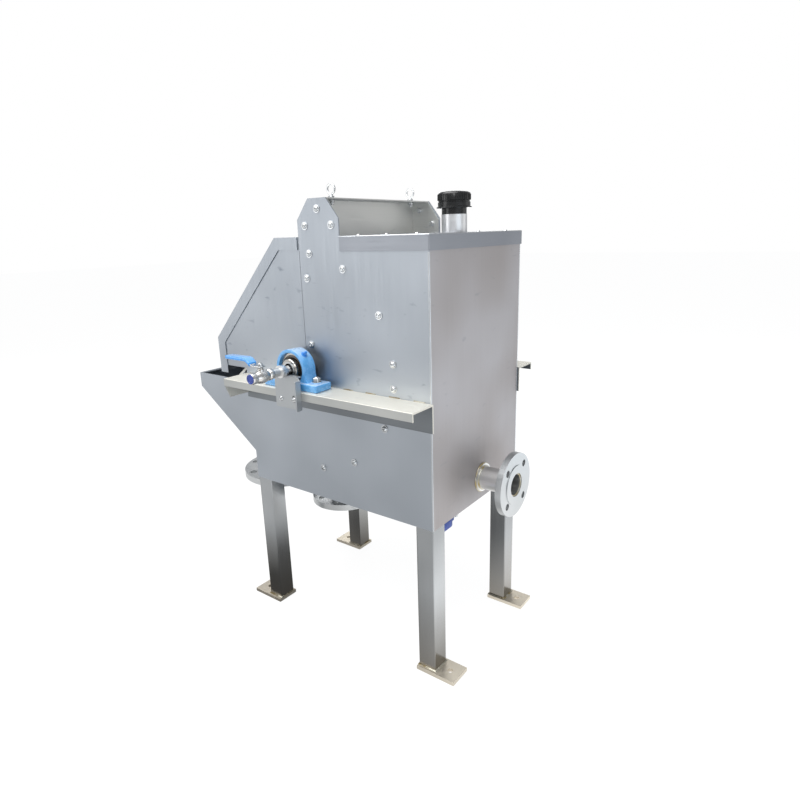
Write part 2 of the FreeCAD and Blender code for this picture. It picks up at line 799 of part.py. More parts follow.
def bolts_at(places, grip, nut_height):
    solids = []
    for across, up in places:
        for deep in (-1, 1):
            solid = bolt_solid(grip, d.bolt.value / 2, nut_height)
            if deep > 0:
                solid = solid.mirror(FreeCAD.Vector(0, 0, 0), Y_AXIS)
            solid.translate(FreeCAD.Vector(across.value, deep * half_width.value, up.value))
            solids.append(solid)
    return solids


seal_places = [on_bolt_circle(angle) for angle in UPPER_ANGLES + LOWER_ANGLES]
seal_grip = (d.plate + d.seal_ring_thick).value
beam_grip = (d.plate + d.beam_clear + d.beam_sheet).value
strap_grip = (2 * d.plate).value
full_nut = 6.5
thin_nut = 3.5
panel_bolts = bolts_at(seal_places, seal_grip, full_nut)
panel_bolts += bolts_at(beam_bolts, beam_grip, full_nut)
panel_bolts += bolts_at(strap_bolts, strap_grip, thin_nut)
solid_copies("panel_bolts", panel_bolts)

# Seal rings: flat quarter rings bolted inside the side plates round the feed side of the drum.
quarter_gap = 1


def ring_sector(inner, outer, start, end, low, high):
    """A flat sector of a ring about the drum axis, between two depths."""
    sector = Part.makeCylinder(outer, high - low, FreeCAD.Vector(0, 0, 0), UP, end - start)
    sector = sector.cut(Part.makeCylinder(inner, high - low, FreeCAD.Vector(0, 0, 0), UP, 360))
    sector.rotate(FreeCAD.Vector(0, 0, 0), UP, start)
    sector.rotate(FreeCAD.Vector(0, 0, 0), X_AXIS, 90)
    sector.translate(FreeCAD.Vector(d.axis_offset.value, high, axis_height.value))
    return sector


rings = []
lips = []
ring_face = inner_half.value - d.seal_ring_thick.value
hole_tool_length = 60
for deep in (-1, 1):
    low, high = sorted((deep * ring_face, deep * inner_half.value))
    for start, end in ((-d.seal_angle.value, -quarter_gap / 2), (quarter_gap / 2, d.seal_angle.value)):
        quarter = ring_sector(d.seal_ring_inner.value, d.seal_ring_outer.value, start, end, low, high)
        for across, up in seal_places:
            tool_start = FreeCAD.Vector(across.value, low - hole_tool_length / 2, up.value)
            tool = Part.makeCylinder(bolt_hole.value / 2, hole_tool_length, tool_start, Y_AXIS)
            quarter = quarter.cut(tool)
        rings.append(quarter)
    low, high = sorted((deep * (half_drum.value - d.disc_thick.value), deep * inner_half.value))
    lips.append(ring_sector(d.drum_radius.value + d.seal_lip_gap.value, d.seal_ring_inner.value - 0.2,
                            -d.seal_angle.value, d.seal_angle.value, low, high))
solid_copies("side_seal_rings", rings)
solid_copies("side_seal_lips", lips)

# Hood cover: skin of three folded panels with a flange over each side plate.
# The cover is hinged to the lid along its top right edge.
def hood_band(depth):
    """The hood's outer line and the same line set in by a depth."""
    return [
        (hood_right, d.lid_height), (hood_bend, d.lid_height), (hood_left, hood_shoulder),
        (hood_left, d.hood_bottom), (hood_left + depth, d.hood_bottom),
        (hood_left + depth, hood_shoulder - depth * fold), (hood_bend + depth * fold, d.lid_height - depth),
        (hood_right, d.lid_height - depth)]


cover = new_body("hood_cover")
skin = new_sketch(cover, "XZ_Plane")
draw_outline(skin, hood_band(d.cover_sheet))
pad(cover, skin, 2 * lid_side, middle=True)
for deep in (-1, 1):
    flange = new_sketch(cover, "XZ_Plane", -deep * lid_side)
    draw_outline(flange, hood_band(d.hood_flange))
    pad(cover, flange, d.cover_sheet, reverse=deep < 0)
finish(cover)

# Hinges of the cover: leaves on the lid and on the cover, with a pin through their knuckles.
hinge_axis_x = d.axis_offset
knuckle = 8
leaf_thick = 2
pin = 4
hinge_width = 60
hinge_axis_z = d.lid_height + knuckle / 2
leaf_fixed, leaf_moving = [], []
leaf_long = 30
hinge_reach = half_width.value - 92.5
for centre in (-hinge_reach, hinge_reach):
    x0, z0 = hinge_axis_x.value, hinge_axis_z.value
    bottom = d.lid_height.value
    near_end = centre - hinge_width / 2
    pin_solid = Part.makeCylinder(pin / 2, hinge_width, FreeCAD.Vector(x0, near_end, z0), Y_AXIS)
    fixed = Part.makeBox(leaf_long, hinge_width, leaf_thick,
                         FreeCAD.Vector(x0 + knuckle / 2 - 1, near_end, bottom))
    moving = Part.makeBox(leaf_long, hinge_width, leaf_thick,
                          FreeCAD.Vector(x0 - knuckle / 2 + 1 - leaf_long, near_end, bottom))
    gap = 0.4
    third = hinge_width / 3
    for index in range(3):
        start = near_end + index * third
        barrel = Part.makeCylinder(knuckle / 2, third - gap, FreeCAD.Vector(x0, start + gap / 2, z0), Y_AXIS)
        foot = Part.makeBox(knuckle / 2, third - gap, leaf_thick,
                            FreeCAD.Vector(x0 if index != 1 else x0 - knuckle / 2, start + gap / 2, bottom))
        clear = Part.makeBox(knuckle, third + gap, knuckle * 2,
                             FreeCAD.Vector(x0 - knuckle / 2 - 1.5 if index != 1 else x0 - knuckle / 2 + 1.5,
                                            start - gap / 2, bottom - 1))
        if index == 1:
            bore = Part.makeCylinder(pin / 2 + d.fit.value, third, FreeCAD.Vector(x0, start, z0), Y_AXIS)
            moving = moving.fuse(barrel).fuse(foot).cut(bore)
            fixed = fixed.cut(clear)
        else:
            fixed = fixed.fuse(barrel).fuse(foot)
            moving = moving.cut(clear)
    leaf_fixed.append(fixed.fuse(pin_solid))
    leaf_moving.append(moving)
solid_copies("hinge_fixed_leaves", leaf_fixed)
solid_copies("hinge_moving_leaves", leaf_moving)


# Flanges: a turned plate with a raised face, and a ring of bolt holes.
def flange_part(label, outer, thick, face, face_rise, bore, pcd, hole, count):
    """The face points to +Z and the mating plane is Z = 0."""
    body = turned_part(label, [
        (bore / 2, -thick), (outer / 2, -thick), (outer / 2, -face_rise), (face / 2, -face_rise),
        (face / 2, 0), (bore / 2, 0)])
    hole_sketch = new_sketch(body, "XY_Plane")
    half_step = 180 / count
    draw_circle(hole_sketch, pcd / 2 * cosine(half_step), pcd / 2 * sine(half_step), hole)
    holes = cut_through(body, hole_sketch)
    repeat_round(body, holes, hole_sketch, count)
    return body


slip = 0.6
X_OUT = FreeCAD.Rotation(Y_AXIS, 90)
Z_DOWN = FreeCAD.Rotation(X_AXIS, 180)
inlet_end = half_length + d.inlet_reach
collar_reach = 7
collar_thick = 5
inlet_pipe = turned_part("inlet_pipe", [
    (d.inlet_pipe / 2 - d.inlet_wall, 0), (d.inlet_pipe / 2 + collar_reach, 0),
    (d.inlet_pipe / 2 + collar_reach, collar_thick), (d.inlet_pipe / 2, collar_thick),
    (d.inlet_pipe / 2, d.inlet_reach - 3), (d.inlet_pipe / 2 - d.inlet_wall, d.inlet_reach - 3)])
finish(inlet_pipe, x=half_length, y=d.inlet_offset, z=d.inlet_height, turn=X_OUT)
inlet_flange = flange_part("inlet_flange", d.inlet_flange_dia, d.inlet_flange_thick, d.inlet_face, 2,
                           d.inlet_pipe + slip, d.inlet_pcd, d.flange_hole, 4)
finish(inlet_flange, x=inlet_end, y=d.inlet_offset, z=d.inlet_height, turn=X_OUT)

outlet_end = d.tank_bottom - d.outlet_drop
outlet_pipe = turned_part("filtrate_pipe", tube_corners(
    d.outlet_pipe, d.outlet_pipe - 2 * d.outlet_wall, outlet_end + 3, d.tank_bottom))
finish(outlet_pipe, x=d.outlet_offset)
outlet_flange = flange_part("filtrate_flange", d.outlet_flange_dia, d.outlet_flange_thick, d.outlet_face, 2,
                            d.outlet_pipe + slip, d.outlet_pcd, d.flange_hole, 8)
finish(outlet_flange, x=d.outlet_offset, z=outlet_end, turn=Z_DOWN)

# Solids chute: a wide pipe cut off along the underside of the trough floor.
chute = new_body("solids_chute")
chute_sketch = new_sketch(chute, "XZ_Plane")
chute_inner = d.chute_pipe / 2 - d.chute_wall
draw_outline(chute_sketch, [
    (chute_inner, d.chute_bottom + 3), (d.chute_pipe / 2, d.chute_bottom + 3),
    (d.chute_pipe / 2, d.trough_corner), (chute_inner, d.trough_corner)])
revolve(chute, chute_sketch)
slant = new_sketch(chute, "XZ_Plane")
floor_at = d.trough_corner - (d.chute_offset - trough_left) * tangent(d.trough_slope) - 0.2
half_mouth = d.chute_pipe / 2 + 5
rise = half_mouth * tangent(d.trough_slope)
draw_outline(slant, [
    (-half_mouth, floor_at + rise), (half_mouth, floor_at - rise),
    (half_mouth, d.trough_corner + 40), (-half_mouth, d.trough_corner + 40)])
cut_through(chute, slant)
finish(chute, x=d.chute_offset)
chute_flange = flange_part("solids_flange", d.chute_flange_dia, d.chute_flange_thick, d.chute_face, 2,
                           d.chute_pipe + slip, d.chute_pcd, d.chute_hole, 8)
finish(chute_flange, x=d.chute_offset, z=d.chute_bottom, turn=Z_DOWN)


# Pillow blocks: cast housing with two feet and a round arch, and an insert bearing.
BEARING_OUTER = 80
BEARING_SLEEVE = 52


def pillow_block(label, y):
    body = new_body(label)
    foot = new_sketch(body, "XZ_Plane")
    draw_outline(foot, [
        (-92, 0), (92, 0), (92, 15), (88, 18), (52, 20), (-52, 20), (-88, 18), (-92, 15)])
    pad(body, foot, 54, middle=True)
    arch = new_sketch(body, "XZ_Plane")
    draw_outline(arch, [
        (-62, 12), (62, 12), (57, 22), (51.5, 32), (49, d.shaft_height), (-49, d.shaft_height), (-51.5, 32),
        (-57, 22)])
    pad(body, arch, 36, middle=True)
    crown = new_sketch(body, "XZ_Plane")
    draw_circle(crown, 0, d.shaft_height, 2 * d.shaft_height - 0.4)
    pad(body, crown, 38, middle=True)
    seat = new_sketch(body, "XZ_Plane")
    draw_circle(seat, 0, d.shaft_height, BEARING_OUTER)
    cut_through(body, seat)
    slots = new_sketch(body, "XY_Plane")
    for end in (-1, 1):
        draw_circle(slots, end * bearing_bolt_reach, 0, 14.5)
    cut_through(body, slots)
    finish(body, x=d.axis_offset, y=y, z=d.shelf_height)


bearing_y = half_width + bearing_offset
pillow_block("bearing_housing_front", -bearing_y)
pillow_block("bearing_housing_back", bearing_y)

outer_rings, inner_rings = [], []
for deep in (-1, 1):
    centre = FreeCAD.Vector(d.axis_offset.value, deep * bearing_y.value, axis_height.value)
    start = centre - Y_AXIS * 11
    outer = Part.makeCylinder(BEARING_OUTER / 2 - 0.1, 22, start, Y_AXIS)
    outer = outer.cut(Part.makeCylinder(BEARING_SLEEVE / 2 + 0.3, 22, start, Y_AXIS))
    outer_rings.append(outer)
    start = centre - Y_AXIS * 24
    inner = Part.makeCylinder(BEARING_SLEEVE / 2, 48, start, Y_AXIS)
    inner = inner.cut(Part.makeCylinder(d.shaft_dia.value / 2 + 0.02, 48, start, Y_AXIS))
    inner_rings.append(inner)
solid_copies("bearing_outer_rings", outer_rings)
solid_copies("bearing_inner_rings", inner_rings)

# Bearing bolts: hexagon head under the shelf, nut on the foot.
bearing_bolts = []
bolt_radius = 6


def hexagon_solid(across, height, base):
    return moved(prism(across / math.sqrt(3), height, 6), base.x, base.y, base.z)


for deep in (-1, 1):
    for end in (-1, 1):
        centre = FreeCAD.Vector((d.axis_offset + end * bearing_bolt_reach).value, deep * bearing_y.value,
                                d.shelf_height.value)
        under = centre - UP * d.rail_sheet.value
        solid = Part.makeCylinder(bolt_radius, d.rail_sheet.value + 34, under, UP)
        solid = solid.fuse(hexagon_solid(19, 8, under - UP * 8))
        solid = solid.fuse(hexagon_solid(19, 10, centre + UP * 20))
        bearing_bolts.append(solid)
solid_copies("bearing_bolts", bearing_bolts)

# Drum: two end discs with spokes, a wedge wire screen on rods, and two stub shafts.
rim_inner = d.drum_radius - d.rim_depth
for side, deep in (("front", -1), ("back", 1)):
    disc = new_body("drum_end_disc_" + side)
    hub = new_sketch(disc, "XZ_Plane")
    draw_circle(hub, 0, 0, 2 * d.hub_radius)
    draw_circle(hub, 0, 0, d.shaft_dia + 0.04)
    pad(disc, hub, d.disc_thick + 12, middle=True)
    rim = new_sketch(disc, "XZ_Plane")
    draw_circle(rim, 0, 0, 2 * d.drum_radius)
    draw_circle(rim, 0, 0, 2 * rim_inner)
    # The first spoke joins rim and hub, so it is drawn with the rim.
    spoke = new_sketch(disc, "XZ_Plane")
    draw_outline(spoke, [
        (d.hub_radius - 4, -d.spoke_width / 2), (rim_inner + 4, -d.spoke_width / 2),
        (rim_inner + 4, d.spoke_width / 2), (d.hub_radius - 4, d.spoke_width / 2)])
    arm = pad(disc, spoke, d.disc_thick, middle=True)
    repeat_round(disc, arm, spoke, d.spoke_count)
    rim_pad = pad(disc, rim, d.disc_thick, middle=True)
    disc.Tip = rim_pad
    finish(disc, x=d.axis_offset, y=deep * (half_drum - d.disc_thick / 2), z=axis_height)

front_end = bearing_y + 24.5
back_end = half_width + d.rail_depth + 82
stub_inner = half_drum - 30
front_shaft = turned_part("drum_shaft_front",
                          tube_corners(d.shaft_dia, d.shaft_bore, -front_end, -stub_inner))
finish(front_shaft, x=d.axis_offset, z=axis_height, turn=Z_TO_Y)
step_at = bearing_y + 30
back_shaft = turned_part("drum_shaft_back", [
    (d.spray_pipe / 2 + 0.3, stub_inner), (d.shaft_dia / 2, stub_inner), (d.shaft_dia / 2, step_at),
    (d.drive_dia / 2, step_at), (d.drive_dia / 2, back_end), (0, back_end), (0, stub_inner + 25),
    (d.spray_pipe / 2 + 0.3, stub_inner + 25)])
finish(back_shaft, x=d.axis_offset, z=axis_height, turn=Z_TO_Y)

# Wedge wire screen: bands with the wedge section of the wire, wide face outwards, on rods along the drum.
screen_half = half_drum.value - d.disc_thick.value
outer, wire_root = d.drum_radius.value, d.drum_radius.value - d.band_depth.value
band_count = round(2 * screen_half / d.band_pitch.value)
band_half = (d.band_pitch - d.band_slot).value / 2
root_half = band_half - d.band_taper.value
screen_solids = []
for index in range(band_count):
    middle = (index + 0.5) * d.band_pitch.value - screen_half
    corners = [
        FreeCAD.Vector(outer, middle - band_half, 0), FreeCAD.Vector(outer, middle + band_half, 0),
        FreeCAD.Vector(wire_root, middle + root_half, 0), FreeCAD.Vector(wire_root, middle - root_half, 0)]
    section = Part.Face(Part.makePolygon(corners + corners[:1]))
    screen_solids.append(section.revolve(FreeCAD.Vector(0, 0, 0), Y_AXIS, 360))
rod_top = wire_root - d.fit.value
for index in range(int(d.rod_count.value)):
    rod = Part.makeBox(d.rod_depth.value, 2 * screen_half, d.rod_width.value,
                       FreeCAD.Vector(rod_top - d.rod_depth.value, -screen_half, -d.rod_width.value / 2))
    rod.rotate(FreeCAD.Vector(0, 0, 0), Y_AXIS, (index + 0.5) * 360 / d.rod_count.value)
    screen_solids.append(rod)
for solid in screen_solids:
    solid.translate(FreeCAD.Vector(d.axis_offset.value, 0, axis_height.value))
solid_copies("drum_screen", screen_solids)

# Fixed spray pipe through the hollow front shaft, with flat fan nozzles inside the drum.
pipe_front = d.valve_centre - d.valve_length / 2 + 12
pipe_back = stub_inner + 20
nut_back = half_width + d.rail_depth + 3 + d.seat
nut_front = nut_back + 12
spray = turned_part("spray_pipe", [
    (d.spray_pipe / 2 - d.spray_wall, -pipe_front), (d.spray_pipe / 2, -pipe_front),
    (d.spray_pipe / 2, -nut_front), (d.spray_pipe / 2 + 5, -nut_front),
    (d.spray_pipe / 2 + 5, -nut_back), (d.spray_pipe / 2, -nut_back),
    (d.spray_pipe / 2, pipe_back), (0, pipe_back), (0, pipe_back - 5),
    (d.spray_pipe / 2 - d.spray_wall, pipe_back - 5)])
finish(spray, x=d.axis_offset, z=axis_height, turn=Z_TO_Y)
nozzles = []
nozzle_pitch = (half_drum.value - 70) / 2
for step in range(5):
    pipe_top = axis_height + d.spray_pipe / 2 + d.seat
    foot_point = FreeCAD.Vector(d.axis_offset.value, (step - 2) * nozzle_pitch, pipe_top.value)
    nozzle = hexagon_solid(14, 9, foot_point).fuse(hexagon_solid(9, 15, foot_point))
    nozzles.append(nozzle)
solid_copies("spray_nozzles", nozzles)


# Ball valves: flow along Y, stem along Z, lever along -X when closed.
socket_depth = 12


def valve_body(label, length):
    end = length / 2
    shoulder, belly = length * 0.28, length * 0.18
    body = turned_part(label, [
        (d.valve_hex / 2 - 4, -end), (d.valve_hex / 2, -end), (d.valve_hex / 2, -shoulder),
        (d.valve_body / 2, -belly), (d.valve_body / 2, belly), (d.valve_hex / 2, shoulder),
        (d.valve_hex / 2, end), (d.spray_pipe / 2 + 0.1, end), (d.spray_pipe / 2 + 0.1, end - socket_depth),
        (0, end - socket_depth), (0, -end + socket_depth), (d.valve_hex / 2 - 4, -end + socket_depth)])
    neck = new_sketch(body, "XZ_Plane")
    draw_circle(neck, 0, 0, 16)
    pad(body, neck, d.stem_height)
    stem_hole = new_sketch(body, "XZ_Plane", 10)
    draw_circle(stem_hole, 0, 0, d.stem_dia + 2 * d.fit)
    pocket = body.newObject("PartDesign::Pocket", label + "_stem_hole")
    pocket.Profile = stem_hole
    pocket.Type = "ThroughAll"
    pocket.Reversed = True
    return body


# The body is turned about Z in its own frame, so these turns lay it along Y or along Z.
FLOW_Y = FreeCAD.Rotation(X_AXIS, -90)
SPRAY_TURN = FLOW_Y
DRAIN_TURN = FreeCAD.Rotation(UP, 90)
drain_centre = d.tank_bottom - d.drain_drop
spray_valve = valve_body("spray_valve_body", d.valve_length)
finish(spray_valve, x=d.axis_offset, y=-d.valve_centre, z=axis_height, turn=SPRAY_TURN)
drain_valve = valve_body("drain_valve_body", d.drain_length)
finish(drain_valve, x=d.drain_offset, y=d.drain_front, z=drain_centre, turn=DRAIN_TURN)

lever_thick = 3
lever_width = 18
sleeve_thick = 8
lever_low = d.stem_height + 1
lever_rise = 14


def lever_parts(name, length, x, y, z, turn):
    """Steel lever with its stem and nut, and the plastic sleeve on its handle."""
    arm = new_body(name + "_lever")
    bend_start, bend_end = -24, -40
    arm_end = -length + 6
    high = lever_low + lever_rise
    strip = new_sketch(arm, "XZ_Plane")
    draw_outline(strip, [
        (9, lever_low), (9, lever_low + lever_thick), (bend_start, lever_low + lever_thick),
        (bend_end, high + lever_thick), (arm_end, high + lever_thick), (arm_end, high),
        (bend_end + 1, high), (bend_start + 1, lever_low)])
    pad(arm, strip, lever_width, middle=True)
    stem = new_sketch(arm, "XY_Plane", 12)
    draw_circle(stem, 0, 0, d.stem_dia)
    pad(arm, stem, lever_low + lever_thick + 8 - 12)
    nut = new_sketch(arm, "XY_Plane", lever_low + lever_thick)
    draw_circle(nut, 0, 0, 13)
    pad(arm, nut, 6)
    finish(arm, x=x, y=y, z=z, turn=turn)
    sleeve = new_body(name + "_lever_sleeve")
    outer_sketch = new_sketch(sleeve, "XZ_Plane")
    skin = (sleeve_thick - lever_thick) / 2
    grade = lever_rise / (bend_start - bend_end)
    sleeve_end = bend_start - 5
    upper_end = lever_low + lever_thick + (bend_start - sleeve_end) * grade
    lower_end = lever_low + (bend_start + 1 - sleeve_end) * grade
    draw_outline(outer_sketch, [
        (sleeve_end, lower_end - skin - 0.6), (sleeve_end, upper_end + skin + 0.6),
        (bend_end - 1, high + lever_thick + skin), (-length, high + lever_thick + skin),
        (-length, high - skin), (bend_end + 2, high - skin)])
    pad(sleeve, outer_sketch, lever_width + 6, middle=True)
    slot = new_sketch(sleeve, "XZ_Plane")
    mouth = sleeve_end + 1
    draw_outline(slot, [
        (mouth, lower_end - grade - 0.1), (mouth, upper_end - grade + 0.1),
        (bend_end, high + lever_thick + 0.1), (arm_end - 0.3, high + lever_thick + 0.1),
        (arm_end - 0.3, high - 0.1), (bend_end + 1, high - 0.1)])
    pocket = sleeve.newObject("PartDesign::Pocket", name + "_sleeve_slot")
    pocket.Profile = slot
    pocket.Midplane = True
    bind(pocket, "Length", lever_width + 0.2)
    finish(sleeve, x=x, y=y, z=z, turn=turn)


NO_TURN = FreeCAD.Rotation()
lever_parts("spray_valve", d.spray_lever, d.axis_offset, -d.valve_centre, axis_height, NO_TURN)
lever_parts("drain_valve", d.drain_lever, d.drain_offset, d.drain_front, drain_centre, CYCLE)

# Plug in the open end of the spray valve.
plug_end = -d.valve_length / 2
plug = turned_part("spray_inlet_plug", [
    (0, plug_end - 1.5), (d.valve_hex / 2 - 3, plug_end - 1.5), (d.valve_hex / 2 - 3, plug_end),
    (d.valve_hex / 2 - 4.3, plug_end), (d.valve_hex / 2 - 4.3, plug_end + 10), (0, plug_end + 10)])
finish(plug, x=d.axis_offset, y=-d.valve_centre, z=axis_height, turn=Z_TO_Y)

# Bracket on the front rail that keeps the spray pipe from turning.
bracket_y = -half_width - d.rail_depth
bracket_top = axis_height - d.spray_pipe / 2 - d.seat
bracket_left, bracket_right = d.axis_offset - 34, d.axis_offset + 54
bracket_low = d.shelf_height - 44
bracket = new_body("spray_bracket")
bracket_face = new_sketch(bracket, "XZ_Plane", -bracket_y)
draw_outline(bracket_face, [
    (bracket_left, bracket_low), (bracket_right, bracket_low), (bracket_right, bracket_top - 8),
    (bracket_right - 8, bracket_top), (bracket_left + 8, bracket_top), (bracket_left, bracket_top - 8)])
draw_circle(bracket_face, bracket_right - 24, d.shelf_height - 14, 9)
pad(bracket, bracket_face, 3)
bracket_shelf = new_sketch(bracket, "XY_Plane", bracket_top)
draw_outline(bracket_shelf, [
    (bracket_left + 8, bracket_y - 3), (bracket_right - 8, bracket_y - 3),
    (bracket_right - 8, bracket_y + 11), (bracket_left + 8, bracket_y + 11)])
pad(bracket, bracket_shelf, 3, reverse=True)
bracket_side = new_sketch(bracket, "YZ_Plane", bracket_right)
draw_outline(bracket_side, [
    (bracket_y - 3, bracket_low), (bracket_y - 3, bracket_top - 8), (bracket_y - 18, bracket_top - 8),
    (bracket_y - 18, bracket_low)])
pad(bracket, bracket_side, 3, reverse=True)
finish(bracket)

# Shaft mounted worm gearbox with its motor, held to the back rail by a torque arm.
gear_front = half_width + d.rail_depth + 6.6
gear_depth = 70
gear_middle = gear_front + gear_depth / 2
worm_height = axis_height + 50
gearbox = new_body("gearbox_housing")
gear_side = new_sketch(gearbox, "XZ_Plane", -gear_front)
draw_outline(gear_side, [
    (d.axis_offset - 42, axis_height - 60), (d.axis_offset + 42, axis_height - 60),
    (d.axis_offset + 60, axis_height - 42), (d.axis_offset + 60, worm_height + 28),
    (d.axis_offset + 46, worm_height + 42), (d.axis_offset - 46, worm_height + 42),
    (d.axis_offset - 60, worm_height + 28), (d.axis_offset - 60, axis_height - 42)])
pad(gearbox, gear_side, gear_depth, reverse=True)
gear_hub = new_sketch(gearbox, "XZ_Plane", -(gear_front + gear_depth))
draw_circle(gear_hub, d.axis_offset, axis_height, 70)
pad(gearbox, gear_hub, 8, reverse=True)
gear_bore = new_sketch(gearbox, "XZ_Plane")
draw_circle(gear_bore, d.axis_offset, axis_height, d.drive_dia + 2 * d.fit)
cut_through(gearbox, gear_bore)
finish(gearbox)

motor_length = 190
motor_flange = 70
motor_radius = 56
motor = turned_part("motor_housing", [
    (0, 0), (motor_flange, 0), (motor_flange, 10), (motor_radius, 12), (motor_radius, motor_length - 45),
    (0, motor_length - 45)])
fin_sketch = new_sketch(motor, "XY_Plane", 16)
draw_outline(fin_sketch, [
    (motor_radius - 2, -1.5), (motor_radius + 6, -1.5), (motor_radius + 6, 1.5), (motor_radius - 2, 1.5)])
fin = pad(motor, fin_sketch, motor_length - 65)
fins = repeat_round(motor, fin, fin_sketch, 20)
box_sketch = new_sketch(motor, "XY_Plane", 40)
draw_outline(box_sketch, [(20, -38), (88, -38), (88, 38), (20, 38)])
pad(motor, box_sketch, 80)
finish(motor, x=d.axis_offset - 60, y=gear_middle, z=worm_height, turn=FreeCAD.Rotation(Y_AXIS, -90))
cowl = turned_part("motor_fan_cowl", [
    (0, motor_length - 44.7), (motor_radius + 6, motor_length - 44.7), (motor_radius + 6, motor_length - 8),
    (motor_radius - 4, motor_length), (0, motor_length)])
finish(cowl, x=d.axis_offset - 60, y=gear_middle, z=worm_height, turn=FreeCAD.Rotation(Y_AXIS, -90))

torque_arm = sheet_part("torque_arm", [
    (d.axis_offset + 18, d.shelf_height - 19), (d.axis_offset + 50, d.shelf_height - 19),
    (d.axis_offset + 50, axis_height + 12), (d.axis_offset + 30, axis_height + 12),
    (d.axis_offset + 30, axis_height - 20), (d.axis_offset + 18, axis_height - 32)], 6, reverse=True)
finish(torque_arm, y=half_width + d.rail_depth + d.seat)

# Small screws along the lid's front and back edges.
screws = []
for inset in (197.5, 117.5, 37.5):
    x_place = half_length.value - inset
    for deep in (-1, 1):
        screw = prism(5.5, 3, 12, 3.5)
        screws.append(moved(screw, x_place, deep * (half_width.value - 12), d.lid_height.value))
solid_copies("lid_screws", screws)

doc.recompute()
for item in doc.Objects:
    if "Invalid" in item.State or "Error" in item.State:
        raise RuntimeError(f"{item.Label} failed: {item.State}")
for item in subparts:
    if item.Shape.isNull() or not item.Shape.isValid():
        raise RuntimeError(f"{item.Label} has no valid shape")

os.makedirs("parts", exist_ok=True)
for item in subparts:
    item.Shape.exportStep(f"parts/{item.Label}.step")
print(len(subparts), "sub-parts written")
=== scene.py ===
import math

import bmesh
import bpy
from mathutils import Euler, Matrix, Vector


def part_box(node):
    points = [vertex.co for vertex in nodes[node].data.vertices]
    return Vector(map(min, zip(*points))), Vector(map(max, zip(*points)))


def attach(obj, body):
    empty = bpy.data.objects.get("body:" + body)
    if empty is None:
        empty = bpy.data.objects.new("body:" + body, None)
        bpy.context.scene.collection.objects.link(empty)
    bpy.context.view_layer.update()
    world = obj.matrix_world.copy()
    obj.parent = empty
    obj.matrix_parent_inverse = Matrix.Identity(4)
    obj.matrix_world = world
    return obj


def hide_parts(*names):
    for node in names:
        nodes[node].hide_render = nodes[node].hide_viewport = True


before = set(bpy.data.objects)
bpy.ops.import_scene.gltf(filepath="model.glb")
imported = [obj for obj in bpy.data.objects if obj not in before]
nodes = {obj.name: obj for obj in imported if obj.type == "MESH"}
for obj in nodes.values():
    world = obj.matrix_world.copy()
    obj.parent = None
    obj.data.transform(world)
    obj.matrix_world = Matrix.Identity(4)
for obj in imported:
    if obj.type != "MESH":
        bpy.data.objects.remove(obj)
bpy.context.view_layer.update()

# Camera: stands at the right front corner, level with the lid, and looks slightly down on the machine.
# Its place, turn and lens come from lines of the machine whose lengths are known.
camera_place = (1.0082, -1.2554, 1.0773)
camera_turns = (74.2645, 1.7017, 36.5551)
sensor_mm, lens_mm = 36.0, 26.743
camera_data = bpy.data.cameras.new("camera")
camera_data.sensor_width = sensor_mm
camera_data.lens = lens_mm
camera_data.clip_end = 60.0
camera = bpy.data.objects.new("camera", camera_data)
camera.location = camera_place
camera.rotation_euler = Euler([math.radians(turn) for turn in camera_turns], "XYZ")
bpy.context.scene.collection.objects.link(camera)
bpy.context.scene.camera = camera
bpy.context.scene.view_settings.view_transform = "Standard"


# Floor: white matte paper. The camera sees it white, with a soft share of the machine's shadow. For polished
# metal it glows with painted light: a painted shadow under the machine, grey in front and a painted pool of
# light at the back right.
def linear(hex_colour):
    """An sRGB hex colour as linear red, green, blue and alpha."""
    channels = [int(hex_colour[index:index + 2], 16) / 255 for index in (1, 3, 5)]
    return tuple(c / 12.92 if c <= 0.04045 else ((c + 0.055) / 1.055) ** 2.4 for c in channels) + (1.0,)


def add_node(tree, kind, inputs=None, **settings):
    """Add one shader node with its settings. An input is a value, a socket, or a node's first output."""
    node = tree.nodes.new("ShaderNode" + kind)
    for name, value in settings.items():
        setattr(node, name, value)
    for socket, value in (inputs or {}).items():
        source = value.outputs[0] if isinstance(value, bpy.types.Node) else value
        if isinstance(source, bpy.types.NodeSocket):
            tree.links.new(source, node.inputs[socket])
        else:
            node.inputs[socket].default_value = source
    return node


def new_material(name):
    """An empty procedural material and its tree of nodes."""
    material = bpy.data.materials.new(name)
    material.use_nodes = True
    material.node_tree.nodes.clear()
    return material, material.node_tree


floor_reach = 25.0
floor_form = bmesh.new()
bmesh.ops.create_grid(floor_form, x_segments=1, y_segments=1, size=floor_reach)
floor_mesh = bpy.data.meshes.new("paper_floor")
floor_form.to_mesh(floor_mesh)
floor_form.free()
floor = bpy.data.objects.new("paper_floor", floor_mesh)
bpy.context.scene.collection.objects.link(floor)
paper, tree = new_material("matte_white_paper")
shadow_share = 0.20
seen_white = 1.16
painted_shadow_middle = (-0.2, -0.15, 0.0)
ray = add_node(tree, "LightPath")
to_camera, to_metal = ray.outputs["Is Camera Ray"], ray.outputs["Is Glossy Ray"]
place = add_node(tree, "TexCoord").outputs["Object"]
seen = add_node(tree, "Math", {0: to_camera, 1: 1.0 - shadow_share}, operation="MULTIPLY")
glow = add_node(tree, "Math", {0: seen, 1: to_metal}, operation="MAXIMUM")
# The glow that metal mirrors carries painted shade: darkest around the painted shadow's middle, lighter in
# front, brightest towards the back right.
distance = add_node(tree, "VectorMath", {0: place, 1: painted_shadow_middle}, operation="DISTANCE").outputs["Value"]
outside_painted_shadow = add_node(tree, "MapRange", {"Value": distance, "From Min": 0.25, "From Max": 0.70,
                                               "To Min": 0.2, "To Max": 1.35})
far_off = add_node(tree, "MapRange", {"Value": distance, "From Min": 0.9, "From Max": 2.4, "To Min": 1.0,
                                      "To Max": 0.6})
axes = add_node(tree, "SeparateXYZ", {0: place})
